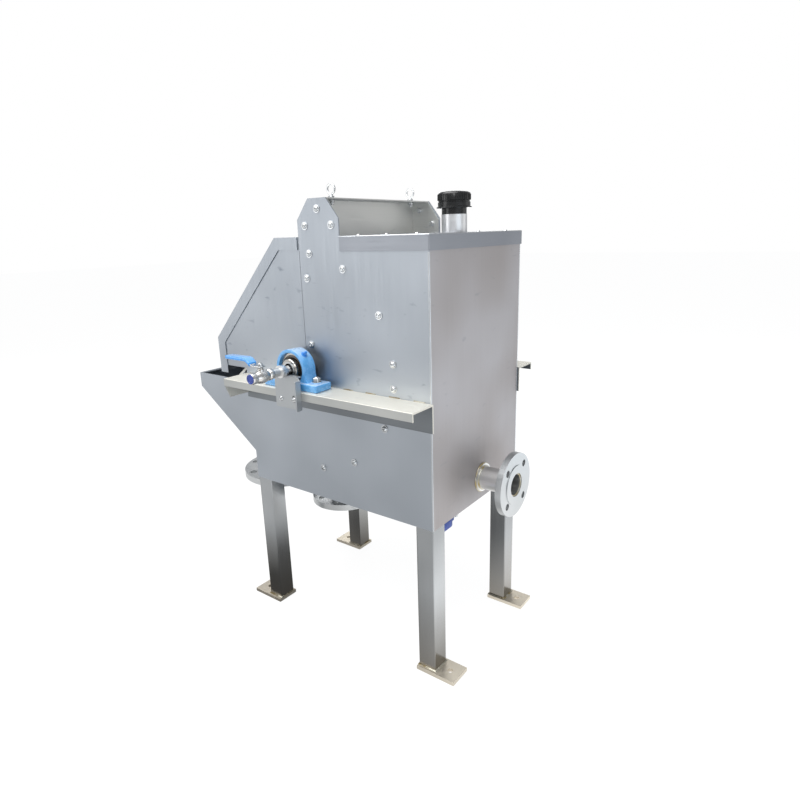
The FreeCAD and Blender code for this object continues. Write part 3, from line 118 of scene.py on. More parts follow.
towards_back = add_node(tree, "Math", {0: axes.outputs["X"], 1: axes.outputs["Y"]}, operation="ADD")
painted_back_light = add_node(tree, "MapRange", {"Value": towards_back, "From Min": -1.0, "From Max": 0.4,
                                          "To Min": 0.66, "To Max": 1.0})
near_part = add_node(tree, "Math", {0: outside_painted_shadow, 1: painted_back_light}, operation="MULTIPLY")
far_part = add_node(tree, "Math", {0: near_part, 1: far_off}, operation="MULTIPLY")
mirrored = add_node(tree, "Math", {0: far_part, 1: to_metal}, operation="MULTIPLY")
strength = add_node(tree, "Math", {0: to_camera, 1: seen_white, 2: mirrored}, operation="MULTIPLY_ADD")
lit = add_node(tree, "BsdfDiffuse", {"Color": linear("#DCDCDC")})
white = add_node(tree, "Emission", {"Color": linear("#FFFFFF"), "Strength": strength})
mixed = add_node(tree, "MixShader", {0: glow, 1: lit, 2: white})
add_node(tree, "OutputMaterial", {"Surface": mixed})
floor_mesh.materials.append(paper)

# Room: even white walls. They light the machine at less than half strength, so that its steel stays grey,
# and only the camera sees them fully white.
room_power = 0.44
world = bpy.data.worlds.new("white_room")
world.use_nodes = True
bpy.context.scene.world = world
tree = world.node_tree
tree.nodes.clear()
ray = add_node(tree, "LightPath")
room_light = add_node(tree, "Background", {"Color": linear("#F6F8FB"), "Strength": room_power})
room_seen = add_node(tree, "Background", {"Color": linear("#FFFFFF"), "Strength": 1.0})
mixed = add_node(tree, "MixShader", {0: ray.outputs["Is Camera Ray"], 1: room_light, 2: room_seen})
add_node(tree, "OutputWorld", {"Surface": mixed})

# Lamps: soft boxes, each with its place, the point it aims at, its width in metres, power and tone. The wide
# one overhead does most, two low ones fill the right wall, and the rest keep the sides and the back clear.
for lamp_name, place, aim, size, power, tone in (
        ("softbox_top", (-0.4, -0.8, 3.4), (0.0, -0.1, 0.8), 3.0, 106.0, "#FFFFFF"),
        ("softbox_front_left", (-2.6, -3.3, 1.2), (0.0, 0.0, 0.6), 2.6, 27.0, "#FFFFFF"),
        ("softbox_back_right", (3.0, 2.6, 1.1), (0.2, 0.0, 0.7), 1.8, 4.0, "#FFFFFF"),
        ("softbox_right_low", (2.4, -0.7, 0.1), (0.3, -0.1, 0.35), 1.8, 16.0, "#E4F1FF"),
        ("softbox_floor_right", (1.1, 1.0, 0.1), (0.3, -0.15, 0.35), 0.8, 1.0, "#DCEEFF"),
        ("softbox_back_left", (-2.4, 3.4, 1.6), (0.0, 0.0, 0.7), 2.2, 38.0, "#FFFFFF"),
        ("softbox_over_camera", (1.3, -1.9, 2.3), (0.2, -0.1, 0.6), 0.9, 8.0, "#FFFFFF")):
    lamp_data = bpy.data.lights.new(lamp_name, "AREA")
    lamp_data.size = size
    lamp_data.energy = power
    lamp_data.color = linear(tone)[:3]
    lamp = bpy.data.objects.new(lamp_name, lamp_data)
    lamp.location = place
    lamp.rotation_euler = (Vector(aim) - Vector(place)).to_track_quat("-Z", "Y").to_euler()
    bpy.context.scene.collection.objects.link(lamp)


# Legs: four lengths of drawn square tube in stainless steel, polished lengthwise, so they mirror the room
# in long soft streaks. They are cut square and welded under the corners of the tank.
MM = 0.001


def stainless(name, shade, light, grain_mm=(3, 3, 160), rough=(0.42, 0.54), marks=0.3, heat_tint_and_shade=None):
    """Stainless sheet or tube with soft clouds, fine lines and a few hand marks.

    The grain is the width and length of its lines, drawn coarser than real ones so that they show.
    The tint is a low and a high level in millimetres, below which the steel is painted darker and browner:
    partly the heat tint of a weld, partly painted shade.
    """
    cloud_mm, print_mm, print_slant, grain_deep = 320, (46, 46, 17), 0.7, 0.04 * MM
    mark_colour, heat_tint_and_shade_colour = linear("#7E8694"), linear("#7E776B")
    material, tree = new_material(name)
    place = add_node(tree, "TexCoord").outputs["Object"]
    clouds = add_node(tree, "TexNoise", {"Vector": place, "Scale": 1 / (cloud_mm * MM), "Detail": 2.0,
                                         "Roughness": 0.45})
    cloudy = add_node(tree, "MapRange", {"Value": clouds, "From Min": 0.36, "From Max": 0.64})
    sheet = add_node(tree, "Mix", {0: cloudy, 6: linear(shade), 7: linear(light)}, data_type="RGBA")
    stretched = add_node(tree, "Mapping", {"Vector": place, "Scale": [1 / (size * MM) for size in grain_mm]})
    grain = add_node(tree, "TexNoise", {"Vector": stretched, "Scale": 1.0, "Detail": 3.0})
    grain_tone = add_node(tree, "MapRange", {"Value": grain, "To Min": 0.94, "To Max": 1.04})
    toned = add_node(tree, "VectorMath", {0: sheet.outputs[2], 3: grain_tone}, operation="SCALE")
    slanted = add_node(tree, "Mapping", {"Vector": place, "Rotation": (0.0, print_slant, 0.0),
                                         "Scale": [1 / (size * MM) for size in print_mm]})
    prints = add_node(tree, "TexNoise", {"Vector": slanted, "Scale": 1.0, "Detail": 2.0, "Distortion": 0.4})
    marked = add_node(tree, "MapRange", {"Value": prints, "From Min": 0.68, "From Max": 0.80, "To Min": 0.0,
                                         "To Max": marks})
    colour = add_node(tree, "Mix", {0: marked, 6: toned, 7: mark_colour}, data_type="RGBA")
    if heat_tint_and_shade:
        level = add_node(tree, "SeparateXYZ", {0: place}).outputs["Z"]
        heat = add_node(tree, "MapRange", {"Value": level, "From Min": heat_tint_and_shade[0] * MM,
                                           "From Max": heat_tint_and_shade[1] * MM, "To Min": 0.85, "To Max": 0.0})
        colour = add_node(tree, "Mix", {0: heat, 6: colour.outputs[2], 7: heat_tint_and_shade_colour}, data_type="RGBA")
    brushed = add_node(tree, "MapRange", {"Value": grain, "From Min": 0.3, "From Max": 0.7,
                                          "To Min": rough[0], "To Max": rough[1]})
    dulled = add_node(tree, "Math", {0: marked, 1: 0.12, 2: brushed}, operation="MULTIPLY_ADD")
    bump = add_node(tree, "Bump", {"Height": grain, "Strength": 0.1, "Distance": grain_deep})
    shader = add_node(tree, "BsdfPrincipled", {"Base Color": colour.outputs[2], "Metallic": 1.0,
                                               "Roughness": dulled, "Normal": bump})
    add_node(tree, "OutputMaterial", {"Surface": shader})
    return material


def dress(material, *names):
    """Give CAD pieces their finish."""
    for name in names:
        nodes[name].data.materials.clear()
        nodes[name].data.materials.append(material)


def spot(x, y, z):
    """A move by millimetres."""
    return Matrix.Translation((x * MM, y * MM, z * MM))


def rotated(degrees, axis):
    """A turn by degrees about X, Y or Z."""
    return Matrix.Rotation(math.radians(degrees), 4, axis)


def new_piece(name, form, material, body, slot, *stands_for, corner=32):
    """Make a finished piece of a shape: faces out, smooth up to the corner angle, riding on its body."""
    bmesh.ops.recalc_face_normals(form, faces=form.faces)
    mesh = bpy.data.meshes.new(name)
    form.to_mesh(mesh)
    form.free()
    mesh.shade_smooth()
    mesh.set_sharp_from_angle(angle=math.radians(corner))
    mesh.materials.append(material)
    item = bpy.data.objects.new(name, mesh)
    bpy.context.scene.collection.objects.link(item)
    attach(item, body)
    if stands_for:
        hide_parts(*stands_for)
    return item


def round_edges(form, edges, radius, segments=3, clamp=True):
    """Round the edges of a shape, or break them flat with one segment."""
    bmesh.ops.bevel(form, geom=list(edges), offset=radius, offset_type="OFFSET", affect="EDGES",
                    segments=segments, profile=0.5, material=-1, clamp_overlap=clamp)


def softened(name, node, keep_edge, radius_mm, material, body, slot, segments=3, corner=32):
    """A copy of a CAD piece whose chosen sharp edges are rounded, while its flat faces stay flat."""
    sharp_angle, flat_angle, least_crease = math.radians(40), math.radians(1), 0.02
    far_larger = 8
    form = bmesh.new()
    form.from_mesh(nodes[node].data)
    bmesh.ops.remove_doubles(form, verts=form.verts, dist=0.01 * MM)
    bmesh.ops.dissolve_limit(form, angle_limit=flat_angle, verts=form.verts, edges=form.edges)
    sharp = [edge for edge in form.edges if len(edge.link_faces) == 2 and
             edge.calc_face_angle(0) > sharp_angle and keep_edge(edge)]
    round_edges(form, sharp, radius_mm * MM, segments)
    item = new_piece(name, form, material, body, slot, node, corner=corner)
    flats = bmesh.new()
    flats.from_mesh(item.data)
    for edge in flats.edges:
        areas = sorted(face.calc_area() for face in edge.link_faces)
        if len(areas) == 2 and areas[1] > far_larger * areas[0] and edge.calc_face_angle(0) > least_crease:
            edge.smooth = False
    flats.to_mesh(item.data)
    flats.free()
    return item


def upright_edge(edge):
    """An edge that runs up the machine, longer than a hand's width."""
    run = edge.verts[1].co - edge.verts[0].co
    return abs(run.z) > 100 * MM


# Low on each leg the tube is painted darker and browner: partly heat tint from the foot weld, partly painted
# shade where it mirrors the dark floor.
leg_tube = stainless("polished_stainless_tube", "#9FA2A4", "#BABDBF", grain_mm=(2.0, 2.0, 220),
                     rough=(0.16, 0.26), marks=0.15, heat_tint_and_shade=(-20, 230))
tube_corner = 2.6
softened("square_tube_legs", "legs", upright_edge, tube_corner, leg_tube, "frame", "leg_tube")


# Foot plates: 10 mm plate, sheared and drilled, with a pale blasted face, so it hardly mirrors anything.
# Each is welded under its leg with one run of weld round the tube, which the heat has turned straw.
def weld_bead(name, light, heat):
    """A run of weld: small overlapping ripples, straw to brown where the heat was highest."""
    ripple_mm, stain_mm, ripple_deep = 4, 22, 0.8 * MM
    material, tree = new_material(name)
    place = add_node(tree, "TexCoord").outputs["Object"]
    ripple = add_node(tree, "TexNoise", {"Vector": place, "Scale": 1 / (ripple_mm * MM), "Detail": 2.0})
    stain = add_node(tree, "TexNoise", {"Vector": place, "Scale": 1 / (stain_mm * MM), "Detail": 3.0})
    stained = add_node(tree, "MapRange", {"Value": stain, "From Min": 0.42, "From Max": 0.62})
    colour = add_node(tree, "Mix", {0: stained, 6: linear(light), 7: linear(heat)}, data_type="RGBA")
    bump = add_node(tree, "Bump", {"Height": ripple, "Strength": 0.8, "Distance": ripple_deep})
    shader = add_node(tree, "BsdfPrincipled", {"Base Color": colour.outputs[2], "Metallic": 1.0,
                                               "Roughness": 0.38, "Normal": bump})
    add_node(tree, "OutputMaterial", {"Surface": shader})
    return material


def any_edge(edge):
    """Every sharp edge is rounded."""
    return True


foot_plate = stainless("blasted_stainless_foot", "#D4CCBE", "#E6DECE", grain_mm=(8, 8, 8),
                       rough=(0.50, 0.62), marks=0.15)
plate_edge = 0.9
softened("sheared_foot_plates", "foot_plates", any_edge, plate_edge, foot_plate, "frame",
         "foot_plate_steel", segments=2)
foot_weld = weld_bead("straw_coloured_weld", "#B9B5A6", "#8E7C52")
leg_lo, leg_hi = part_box("legs")
leg_width, bead = 50 * MM, 3 * MM
to_corner = math.sqrt(2)
# The weld's upper edge stands a hair proud of the tube, so that the two never share a face.
proud = 1.002
form = bmesh.new()
for x in (leg_lo.x + leg_width / 2, leg_hi.x - leg_width / 2):
    for y in (leg_lo.y + leg_width / 2, leg_hi.y - leg_width / 2):
        bmesh.ops.create_cone(form, cap_ends=True, segments=4, radius1=(leg_width / 2 + bead) * to_corner,
                              radius2=leg_width / 2 * to_corner * proud, depth=bead,
                              matrix=Matrix.Translation((x, y, leg_lo.z + bead / 2)) @ rotated(45, "Z"))
new_piece("foot_welds", form, foot_weld, "frame", "foot_plate_steel", corner=60)


# Tank: 3 mm cold rolled stainless sheet with a satin finish, cut, folded and welded, and bolted where the
# drum has to come out. It shows soft clouds of light, a faint upright grain and the marks of hands, which
# the lower plates lack. The end wall is a little warmer and duller, and the inside, as it was rolled, is
# painted darker as painted shade.
tank_sheet = stainless("satin_stainless_sheet", "#AEB4BB", "#BDC3CA", marks=0.5)
dress(tank_sheet, "front_upper_plate", "back_upper_plate", "front_hood_plate", "back_hood_plate",
      "headbox_partition")
clean_sheet = stainless("clean_satin_stainless_sheet", "#AEB4BB", "#BDC3CA", marks=0.0)
dress(clean_sheet, "front_lower_plate", "back_lower_plate")
end_sheet = stainless("satin_stainless_end_sheet", "#B8B3B2", "#C8C6C8", rough=(0.56, 0.68), marks=0.2)
dress(end_sheet, "inlet_end_wall")
# The inside is painted darker than the outside, as painted shade within the tank.
inner_sheet_painted_shade = stainless("unpolished_stainless_inside_painted_shade", "#7E848B", "#8C9299", rough=(0.45, 0.6))
dress(inner_sheet_painted_shade, "tank_floor", "sump_left_wall", "trough_floor")

# Corner welds of the tank: the end wall is welded in between the side plates, and the weld is dressed
# to a small round edge, which catches the light as one bright upright line.
# Its steel is painted lighter than the sheet: partly the brighter metal of a dressed weld, partly a painted
# highlight. The lid's folds share it.
weld_and_fold_highlight_steel = stainless("dressed_weld_and_fold_painted_highlight", "#C9CDD0", "#DCDFE1", rough=(0.26, 0.36), marks=0.0)
wall_lo, wall_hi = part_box("inlet_end_wall")
front_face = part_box("front_lower_plate")[0].y
back_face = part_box("back_lower_plate")[1].y
lid_flange = 34 * MM
corner_radius = 2.2 * MM
sunk = corner_radius * 0.8
corner_height = wall_hi.z - lid_flange - wall_lo.z
form = bmesh.new()
for y in (front_face + sunk, back_face - sunk):
    bmesh.ops.create_cone(form, cap_ends=True, segments=16, radius1=corner_radius, radius2=corner_radius,
                          depth=corner_height,
                          matrix=Matrix.Translation((wall_hi.x - sunk, y, wall_lo.z + corner_height / 2)))
new_piece("tank_corner_welds", form, weld_and_fold_highlight_steel, "frame", "stainless_sheet")


# Bearing rails: 4 mm plate folded to a channel along each side, sanded after welding. The shelf's top is
# painted lighter than its lip, as painted light from above. The folds are round, and the inner leg and the
# inside are painted dark, as painted shade under the shelf.
def long_fold(edge):
    """A fold runs along the machine and is nearly as long as the rail."""
    run = edge.verts[1].co - edge.verts[0].co
    return abs(run.x) > 400 * MM


# The shelf's sheet is painted lighter than the lip's, which has the same finish, as painted light from above.
rail_sheet_painted_light = stainless("sanded_stainless_rail_painted_light", "#E8E6DE", "#F3F0E6", grain_mm=(90, 2.5, 2.5),
                       rough=(0.56, 0.70), marks=0.1)
rail_shade_sheet = stainless("stainless_rail_painted_shade", "#7E8286", "#8E9397", grain_mm=(90, 2.5, 2.5), marks=0.2)
lip_sheet = stainless("sanded_stainless_lip", "#C3C5C3", "#D1D2CF", grain_mm=(90, 2.5, 2.5),
                      rough=(0.56, 0.70), marks=0.1)
rail_fold = 1.8
wall_leg, shelf_depth = 6 * MM, 3 * MM
for side, outward in (("front", -1), ("back", 1)):
    rail = softened(side + "_bearing_rail", side + "_rail", long_fold, rail_fold, rail_sheet_painted_light, "frame",
                    "stainless_sheet")
    rail.data.materials.append(rail_shade_sheet)
    rail.data.materials.append(lip_sheet)
    rail_lo, rail_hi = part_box(side + "_rail")
    wall_side = rail_hi.y if outward < 0 else rail_lo.y
    # Faces on the inner leg, and faces that look down or inward, take the dark sheet as painted shade under
    # the shelf.
    for face in rail.data.polygons:
        on_wall_leg = abs(face.center.y - wall_side) < wall_leg and face.center.z < rail_hi.z - shelf_depth
        faces_inward = face.normal.z < -0.5 or face.normal.y * outward < -0.5
        if on_wall_leg or faces_inward:
            face.material_index = 1
        elif face.normal.y * outward > 0.9:
            face.material_index = 2

# Rail welds: a row of short runs of weld between each shelf and its side plate, laid with gaps so that the
# sheet stays flat. They are brushed, but still straw coloured in places.
rail_weld = weld_bead("brushed_rail_weld", "#B5B1A4", "#7F6F4C")
rail_lo, rail_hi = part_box("front_rail")
weld_count, weld_radius, weld_length = 9, 2.2 * MM, 30 * MM
first_weld, weld_pitch = 28 * MM, 70 * MM
form = bmesh.new()
for y in (rail_hi.y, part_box("back_rail")[0].y):
    for step in range(weld_count):
        x = rail_lo.x + first_weld + step * weld_pitch
        bmesh.ops.create_cone(form, cap_ends=True, segments=10, radius1=weld_radius, radius2=weld_radius,
                              depth=weld_length,
                              matrix=Matrix.Translation((x, y, rail_hi.z)) @ rotated(90, "Y"))
new_piece("rail_welds", form, rail_weld, "frame", "stainless_sheet")


# Wedge wire drum: one long stainless wire of wedge section, wound on straight rods and welded at every
# crossing, with a turned end disc at each end. From outside it is a fine even ribbing with narrow slots.
def repeat_shape(form, single, places):
    """Add one copy of a finished shape at each place."""
    for place in places:
        pattern = bpy.data.meshes.new("pattern")
        single.to_mesh(pattern)
        pattern.transform(place)
        form.from_mesh(pattern)
        bpy.data.meshes.remove(pattern)
    single.free()


def turn_profile(form, points, steps=48, place=None):
    """Turn a profile of (radius, height) points about Z, like work on a lathe. Sizes in millimetres."""
    work = bmesh.new()
    verts = [work.verts.new((radius * MM, 0, height * MM)) for radius, height in points]
    pairs = list(zip(verts, verts[1:]))
    if points[0][0] > 0 or points[-1][0] > 0:
        pairs.append((verts[-1], verts[0]))
    edges = [work.edges.new(pair) for pair in pairs]
    bmesh.ops.spin(work, geom=verts + edges, axis=(0, 0, 1), cent=(0, 0, 0), angle=math.tau, steps=steps,
                   use_merge=True)
    bmesh.ops.remove_doubles(work, verts=work.verts, dist=0.001 * MM)
    repeat_shape(form, work, [place or Matrix()])


def between(name):
    """The middle of a CAD piece, in millimetres."""
    low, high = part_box(name)
    return (low + high) / 2 / MM


def round_about(count, start=0.0):
    """Evenly spaced turns about Z, the first one a share of a step on."""
    return [rotated(360 * (step + start) / count, "Z") for step in range(count)]


turned = stainless("turned_stainless", "#C2C4C5", "#D6D7D7", grain_mm=(1.5, 60, 60),
                   rough=(0.24, 0.38), marks=0.1)
wire_steel = stainless("drawn_wedge_wire", "#A4A9AE", "#B9BDC1", grain_mm=(60, 2, 60),
                       rough=(0.28, 0.4), marks=0.1)
dress(turned, "drum_end_disc_front", "drum_end_disc_back", "drum_shaft_front", "drum_shaft_back")
drum_lo, drum_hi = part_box("drum_screen")
drum_centre = between("drum_screen")
drum_radius = (drum_hi.x - drum_lo.x) / 2 / MM
screen_half = (drum_hi.y - drum_lo.y) / 2 / MM
AXIS_ALONG_Y = rotated(-90, "X")
wire_pitch = 4.0
half_face, half_root, wire_depth = 1.3, 0.3, 4
wire_count = int(2 * screen_half / wire_pitch)
form = bmesh.new()
wire = bmesh.new()
turn_profile(wire, [(drum_radius, -half_face), (drum_radius, half_face),
                    (drum_radius - wire_depth, half_root), (drum_radius - wire_depth, -half_root)], 80)
repeat_shape(form, wire, [spot(0, 0, (step + 0.5) * wire_pitch - screen_half)
                          for step in range(wire_count)])
rod_count, rod_depth, rod_width, rod_middle = 48, 8, 3, 8.1
rod = bmesh.new()
bmesh.ops.create_cube(rod, size=1.0, matrix=spot(drum_radius - rod_middle, 0, 0) @
                      Matrix.Diagonal((rod_depth * MM, rod_width * MM, 2 * screen_half * MM, 1)))
repeat_shape(form, rod, round_about(rod_count, 0.5))
bmesh.ops.transform(form, matrix=spot(*drum_centre) @ AXIS_ALONG_Y, verts=form.verts)
new_piece("wedge_wire_screen", form, wire_steel, "drum", "stainless_sheet", "drum_screen")


# Seals and scraper: flat quarter rings of sheet clamp rubber lips against the drum's end discs, a rubber
# strip closes the headbox below, and a sawn polyethylene blade on a folded holder takes the solids off.
def coated(name, base, worn, rough, spot_mm, coat=0.0, bump_height=0.02, top_light=0.0):
    """Rubber, plastic or paint with a slight mottle of its own, a fine bump, and painted light where it looks
    up.
    """
    top_light_colour = linear("#D9DDDE")
    material, tree = new_material(name)
    place = add_node(tree, "TexCoord").outputs["Object"]
    mottle = add_node(tree, "TexNoise", {"Vector": place, "Scale": 1 / (spot_mm * MM), "Detail": 4.0})
    spotted = add_node(tree, "MapRange", {"Value": mottle, "From Min": 0.35, "From Max": 0.7})
    colour = add_node(tree, "Mix", {0: spotted, 6: linear(base), 7: linear(worn)}, data_type="RGBA")
    facing = add_node(tree, "NewGeometry").outputs["Normal"]
    upward = add_node(tree, "SeparateXYZ", {0: facing}).outputs["Z"]
    lit_from_above = add_node(tree, "MapRange", {"Value": upward, "From Min": 0.55, "From Max": 0.95, "To Max": top_light})
    colour = add_node(tree, "Mix", {0: lit_from_above, 6: colour.outputs[2], 7: top_light_colour}, data_type="RGBA")
    uneven = add_node(tree, "MapRange", {"Value": mottle, "To Min": rough - 0.06, "To Max": rough + 0.08})
    bump = add_node(tree, "Bump", {"Height": mottle, "Strength": 0.25, "Distance": bump_height * MM})
    shader = add_node(tree, "BsdfPrincipled", {"Base Color": colour.outputs[2], "Roughness": uneven,
                                               "Normal": bump, "Coat Weight": coat})
    add_node(tree, "OutputMaterial", {"Surface": shader})
    return material


seal_rubber = coated("moulded_black_rubber", "#242527", "#303134", 0.62, 3)
dress(seal_rubber, "partition_seal_strip", "side_seal_lips")
blade_plastic = coated("sawn_white_polyethylene", "#E6E6E0", "#DADAD2", 0.5, 6)
dress(blade_plastic, "doctor_blade")
dress(turned, "side_seal_rings")
dress(tank_sheet, "blade_holder")

# Panel bolts: M8 button heads with a hexagon socket on wide washers, turned and polished bright.
# They hold the seal rings, the lifting beam and the strap of the side plates, with nuts inside.
bright = stainless("bright_stainless_fastener", "#C6C9CB", "#DEE0E1", grain_mm=(4, 4, 4),
                   rough=(0.16, 0.26), marks=0.0)


def hexagon(form, across_flats, height, place):
    """A hexagon nut or end with lightly broken edges, standing on its place."""
    across_corners = across_flats / math.sqrt(3) * MM
    broken_edge = 0.06 * across_flats * MM
    made = bmesh.ops.create_cone(form, cap_ends=True, segments=6, radius1=across_corners,
                                 radius2=across_corners, depth=height * MM,
                                 matrix=place @ spot(0, 0, height / 2))
    edges = {edge for vert in made["verts"] for edge in vert.link_edges}
    round_edges(form, edges, broken_edge, segments=1, clamp=False)


def button_bolt(grip, nut_height):
    """A bolt along Z: washer and head above the sheet at zero, shank and nut below.

    The round hole turned in its head is drawn in to a hexagon socket.
    """
    shank, shank_end = 4, -grip - nut_height - 0.5
    socket_round, socket_flats, nut_flats = 2.9, 5, 13
    bolt = bmesh.new()
    turn_profile(bolt, [(0, 3.4), (socket_round, 3.4), (socket_round, 6.0), (3.6, 6.1), (5.2, 5.3),
                        (6.6, 3.6), (7.1, 2.2), (7.1, 1.6), (shank, 1.6), (shank, shank_end),
                        (0, shank_end)], 24)
    for vert in bolt.verts:
        reach = vert.co.xy.length
        if 0.1 * MM < reach < (socket_round + 0.2) * MM:
            turn = math.atan2(vert.co.y, vert.co.x) % math.radians(60) - math.radians(30)
            vert.co.xy *= socket_flats / 2 * MM / math.cos(turn) / reach
    turn_profile(bolt, [(4.3, 0), (9.6, 0), (9.8, 0.3), (9.5, 1.6), (4.3, 1.6)], 24)
    hexagon(bolt, nut_flats, nut_height, spot(0, 0, -grip - nut_height))
    return bolt


def places_on_sides(points):
    """Places on both side plates, with Z pointing out of the machine."""
    for x, z in points:
        yield spot(x, front_face / MM, z) @ rotated(90, "X")
        yield spot(x, back_face / MM, z) @ rotated(-90, "X")


axis_x, axis_z = drum_centre.x, drum_centre.z
seal_bolt_radius = 276
seal_bolt_turns = (-6, 6, 30, 60, 83, -28, -59, -83)
seal_points = [(axis_x + seal_bolt_radius * math.cos(math.radians(turn)),
                axis_z + seal_bolt_radius * math.sin(math.radians(turn))) for turn in seal_bolt_turns]
beam_points = [(-3, 1136), (-45, 1099), (39, 1099)]
strap_points = [(axis_x + 21, axis_z + 216), (axis_x + 21, axis_z + 54)]
form = bmesh.new()
repeat_shape(form, button_bolt(9, 6.5), places_on_sides(seal_points))
repeat_shape(form, button_bolt(6.5, 6.5), places_on_sides(beam_points))
repeat_shape(form, button_bolt(6, 3.5), places_on_sides(strap_points))
new_piece("button_head_bolts", form, bright, "frame", "stainless_fasteners", "panel_bolts")


# Top lid: 2 mm sheet with folded flanges on three sides, held by six low screws along its edges. The
# finish is finer and a little darker than the tank's, and the round folds along its top are painted light, as
# a painted highlight.
lid_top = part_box("top_lid")[1].z


def level_edge(edge):
    """A level edge longer than a hand's width."""
    run = edge.verts[1].co - edge.verts[0].co
    return max(abs(run.x), abs(run.y)) > 100 * MM


def top_fold(edge):
    """A level edge of the lid's upper face."""
    return level_edge(edge) and min(vert.co.z for vert in edge.verts) > lid_top - 0.5 * MM


cover_sheet = stainless("fine_satin_stainless_cover", "#9B9FA7", "#AAAEB5", grain_mm=(60, 60, 2.5), marks=0.2)
lid_fold = 3.2
lid = softened("folded_top_lid", "top_lid", top_fold, lid_fold, cover_sheet, "frame", "stainless_sheet")
lid.data.materials.append(weld_and_fold_highlight_steel)
# Slanted fold faces along the top take the lighter weld steel, as a painted highlight.
for face in lid.data.polygons:
    slanted = max(abs(share) for share in face.normal) < 0.99
    if slanted and face.center.z > lid_top - lid_fold * MM:
        face.material_index = 1
screw_stations, screw_reach = (110, 190, 270), 200.5
screw = bmesh.new()
turn_profile(screw, [(0, 1.4), (1.8, 1.4), (2.2, 2.9), (3.6, 2.7), (5.0, 1.5), (5.6, 0), (0, 0)], 20)
form = bmesh.new()
repeat_shape(form, screw, [spot(x, y, lid_top / MM) for x in screw_stations
                           for y in (-screw_reach, screw_reach)])
new_piece("lid_pan_screws", form, bright, "frame", "stainless_fasteners", "lid_screws")

# Lifting beam: 3 mm sheet, paler than the tank's, folded to an angle between two end plates. On it stand two
# M8 lifting eyes, drop forged rings with a round collar, each held by a nut under the beam.
beam_sheet = stainless("satin_stainless_beam", "#DEDFDC", "#EAEAE6", grain_mm=(60, 60, 2.5), marks=0.2)
beam_fold = 1.4
softened("folded_lifting_beam", "lifting_beam", level_edge, beam_fold, beam_sheet, "frame",
         "stainless_sheet")


def ring_profile(reach, wire_size, sides):
    """The round section of a ring, to be turned about Z. Sizes in millimetres."""
    turns = [math.tau * step / sides for step in range(sides)]
    return [(reach + wire_size * math.cos(turn), wire_size * math.sin(turn)) for turn in turns]


beam_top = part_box("lifting_beam")[1].z / MM
eye_apart, ring_wire, ring_reach, ring_foot = 160, 2.5, 11.5, 6.95
beam_plate, eye_nut = 3, 6.4
eye = bmesh.new()
turn_profile(eye, ring_profile(ring_reach, ring_wire, 10), 32,
             spot(0, 0, ring_foot + ring_reach + ring_wire) @ rotated(90, "X"))
turn_profile(eye, [(0, 9), (3.4, 8.6), (4.4, 6.4), (7.4, 5.2), (7.8, 4.4), (7.8, 0.4), (7.4, 0), (4, 0),
                   (4, -15), (0, -15)], 24)
hexagon(eye, 13, eye_nut, spot(0, 0, -beam_plate - eye_nut))
form = bmesh.new()
repeat_shape(form, eye, [spot(between("lifting_eyes").x, y, beam_top) for y in (-eye_apart, eye_apart)])
new_piece("forged_lifting_eyes", form, bright, "frame", "stainless_fasteners", "lifting_eyes")

# Vent: a short welded pipe through the lid, turned bright, with a black polypropylene cap pressed on.
# The cap is moulded with a lip, a groove and a ring of small grip ribs, and has a slightly glossy skin.
vent_bright = stainless("bright_turned_vent", "#F2F3F4", "#FAFAFA", grain_mm=(60, 60, 2),
                        rough=(0.30, 0.40), marks=0.0)
dress(vent_bright, "vent_pipe")
vent_plastic = coated("moulded_black_polypropylene", "#0D0E0F", "#151718", 0.26, 4, coat=0.3)
vent_place = spot(between("vent_cap").x, 0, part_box("vent_cap")[0].z / MM)
form = bmesh.new()
turn_profile(form, [(0, 0), (29.3, 0), (29.3, 13), (40.6, 14), (41.3, 14.6), (41.3, 16.6), (40.6, 17.2),
                    (38.2, 18), (38.2, 27), (36.8, 28), (36.8, 30), (38.6, 31), (38.6, 44.5), (37.6, 47),
                    (34.4, 49.4), (24, 51.2), (23, 50.4), (0, 50.8)], 64, vent_place)
rib_count, rib_reach, rib_level = 40, 38.4, 38
rib_depth, rib_width, rib_height = 2 * MM, 1.7 * MM, 13 * MM
rib = bmesh.new()
bmesh.ops.create_cube(rib, size=1.0, matrix=spot(rib_reach, 0, rib_level) @
                      Matrix.Diagonal((rib_depth, rib_width, rib_height, 1)))
repeat_shape(form, rib, [vent_place @ turn for turn in round_about(rib_count)])
new_piece("ribbed_vent_cap", form, vent_plastic, "frame", "vent_plastic", "vent_cap")

# Hood cover: 2 mm sheet folded to three panels with a flange over each side plate. It lifts on two
# stainless hinges on the lid. Its satin grain runs across the machine, from side to side.
hood_sheet = stainless("satin_stainless_hood", "#AEB4BB", "#BDC3CA", grain_mm=(3, 60, 60), marks=0.2)
dress(hood_sheet, "hinge_fixed_leaves", "hinge_moving_leaves")
hood_fold = 1.6
softened("folded_hood_cover", "hood_cover", level_edge, hood_fold, hood_sheet, "cover", "stainless_sheet")


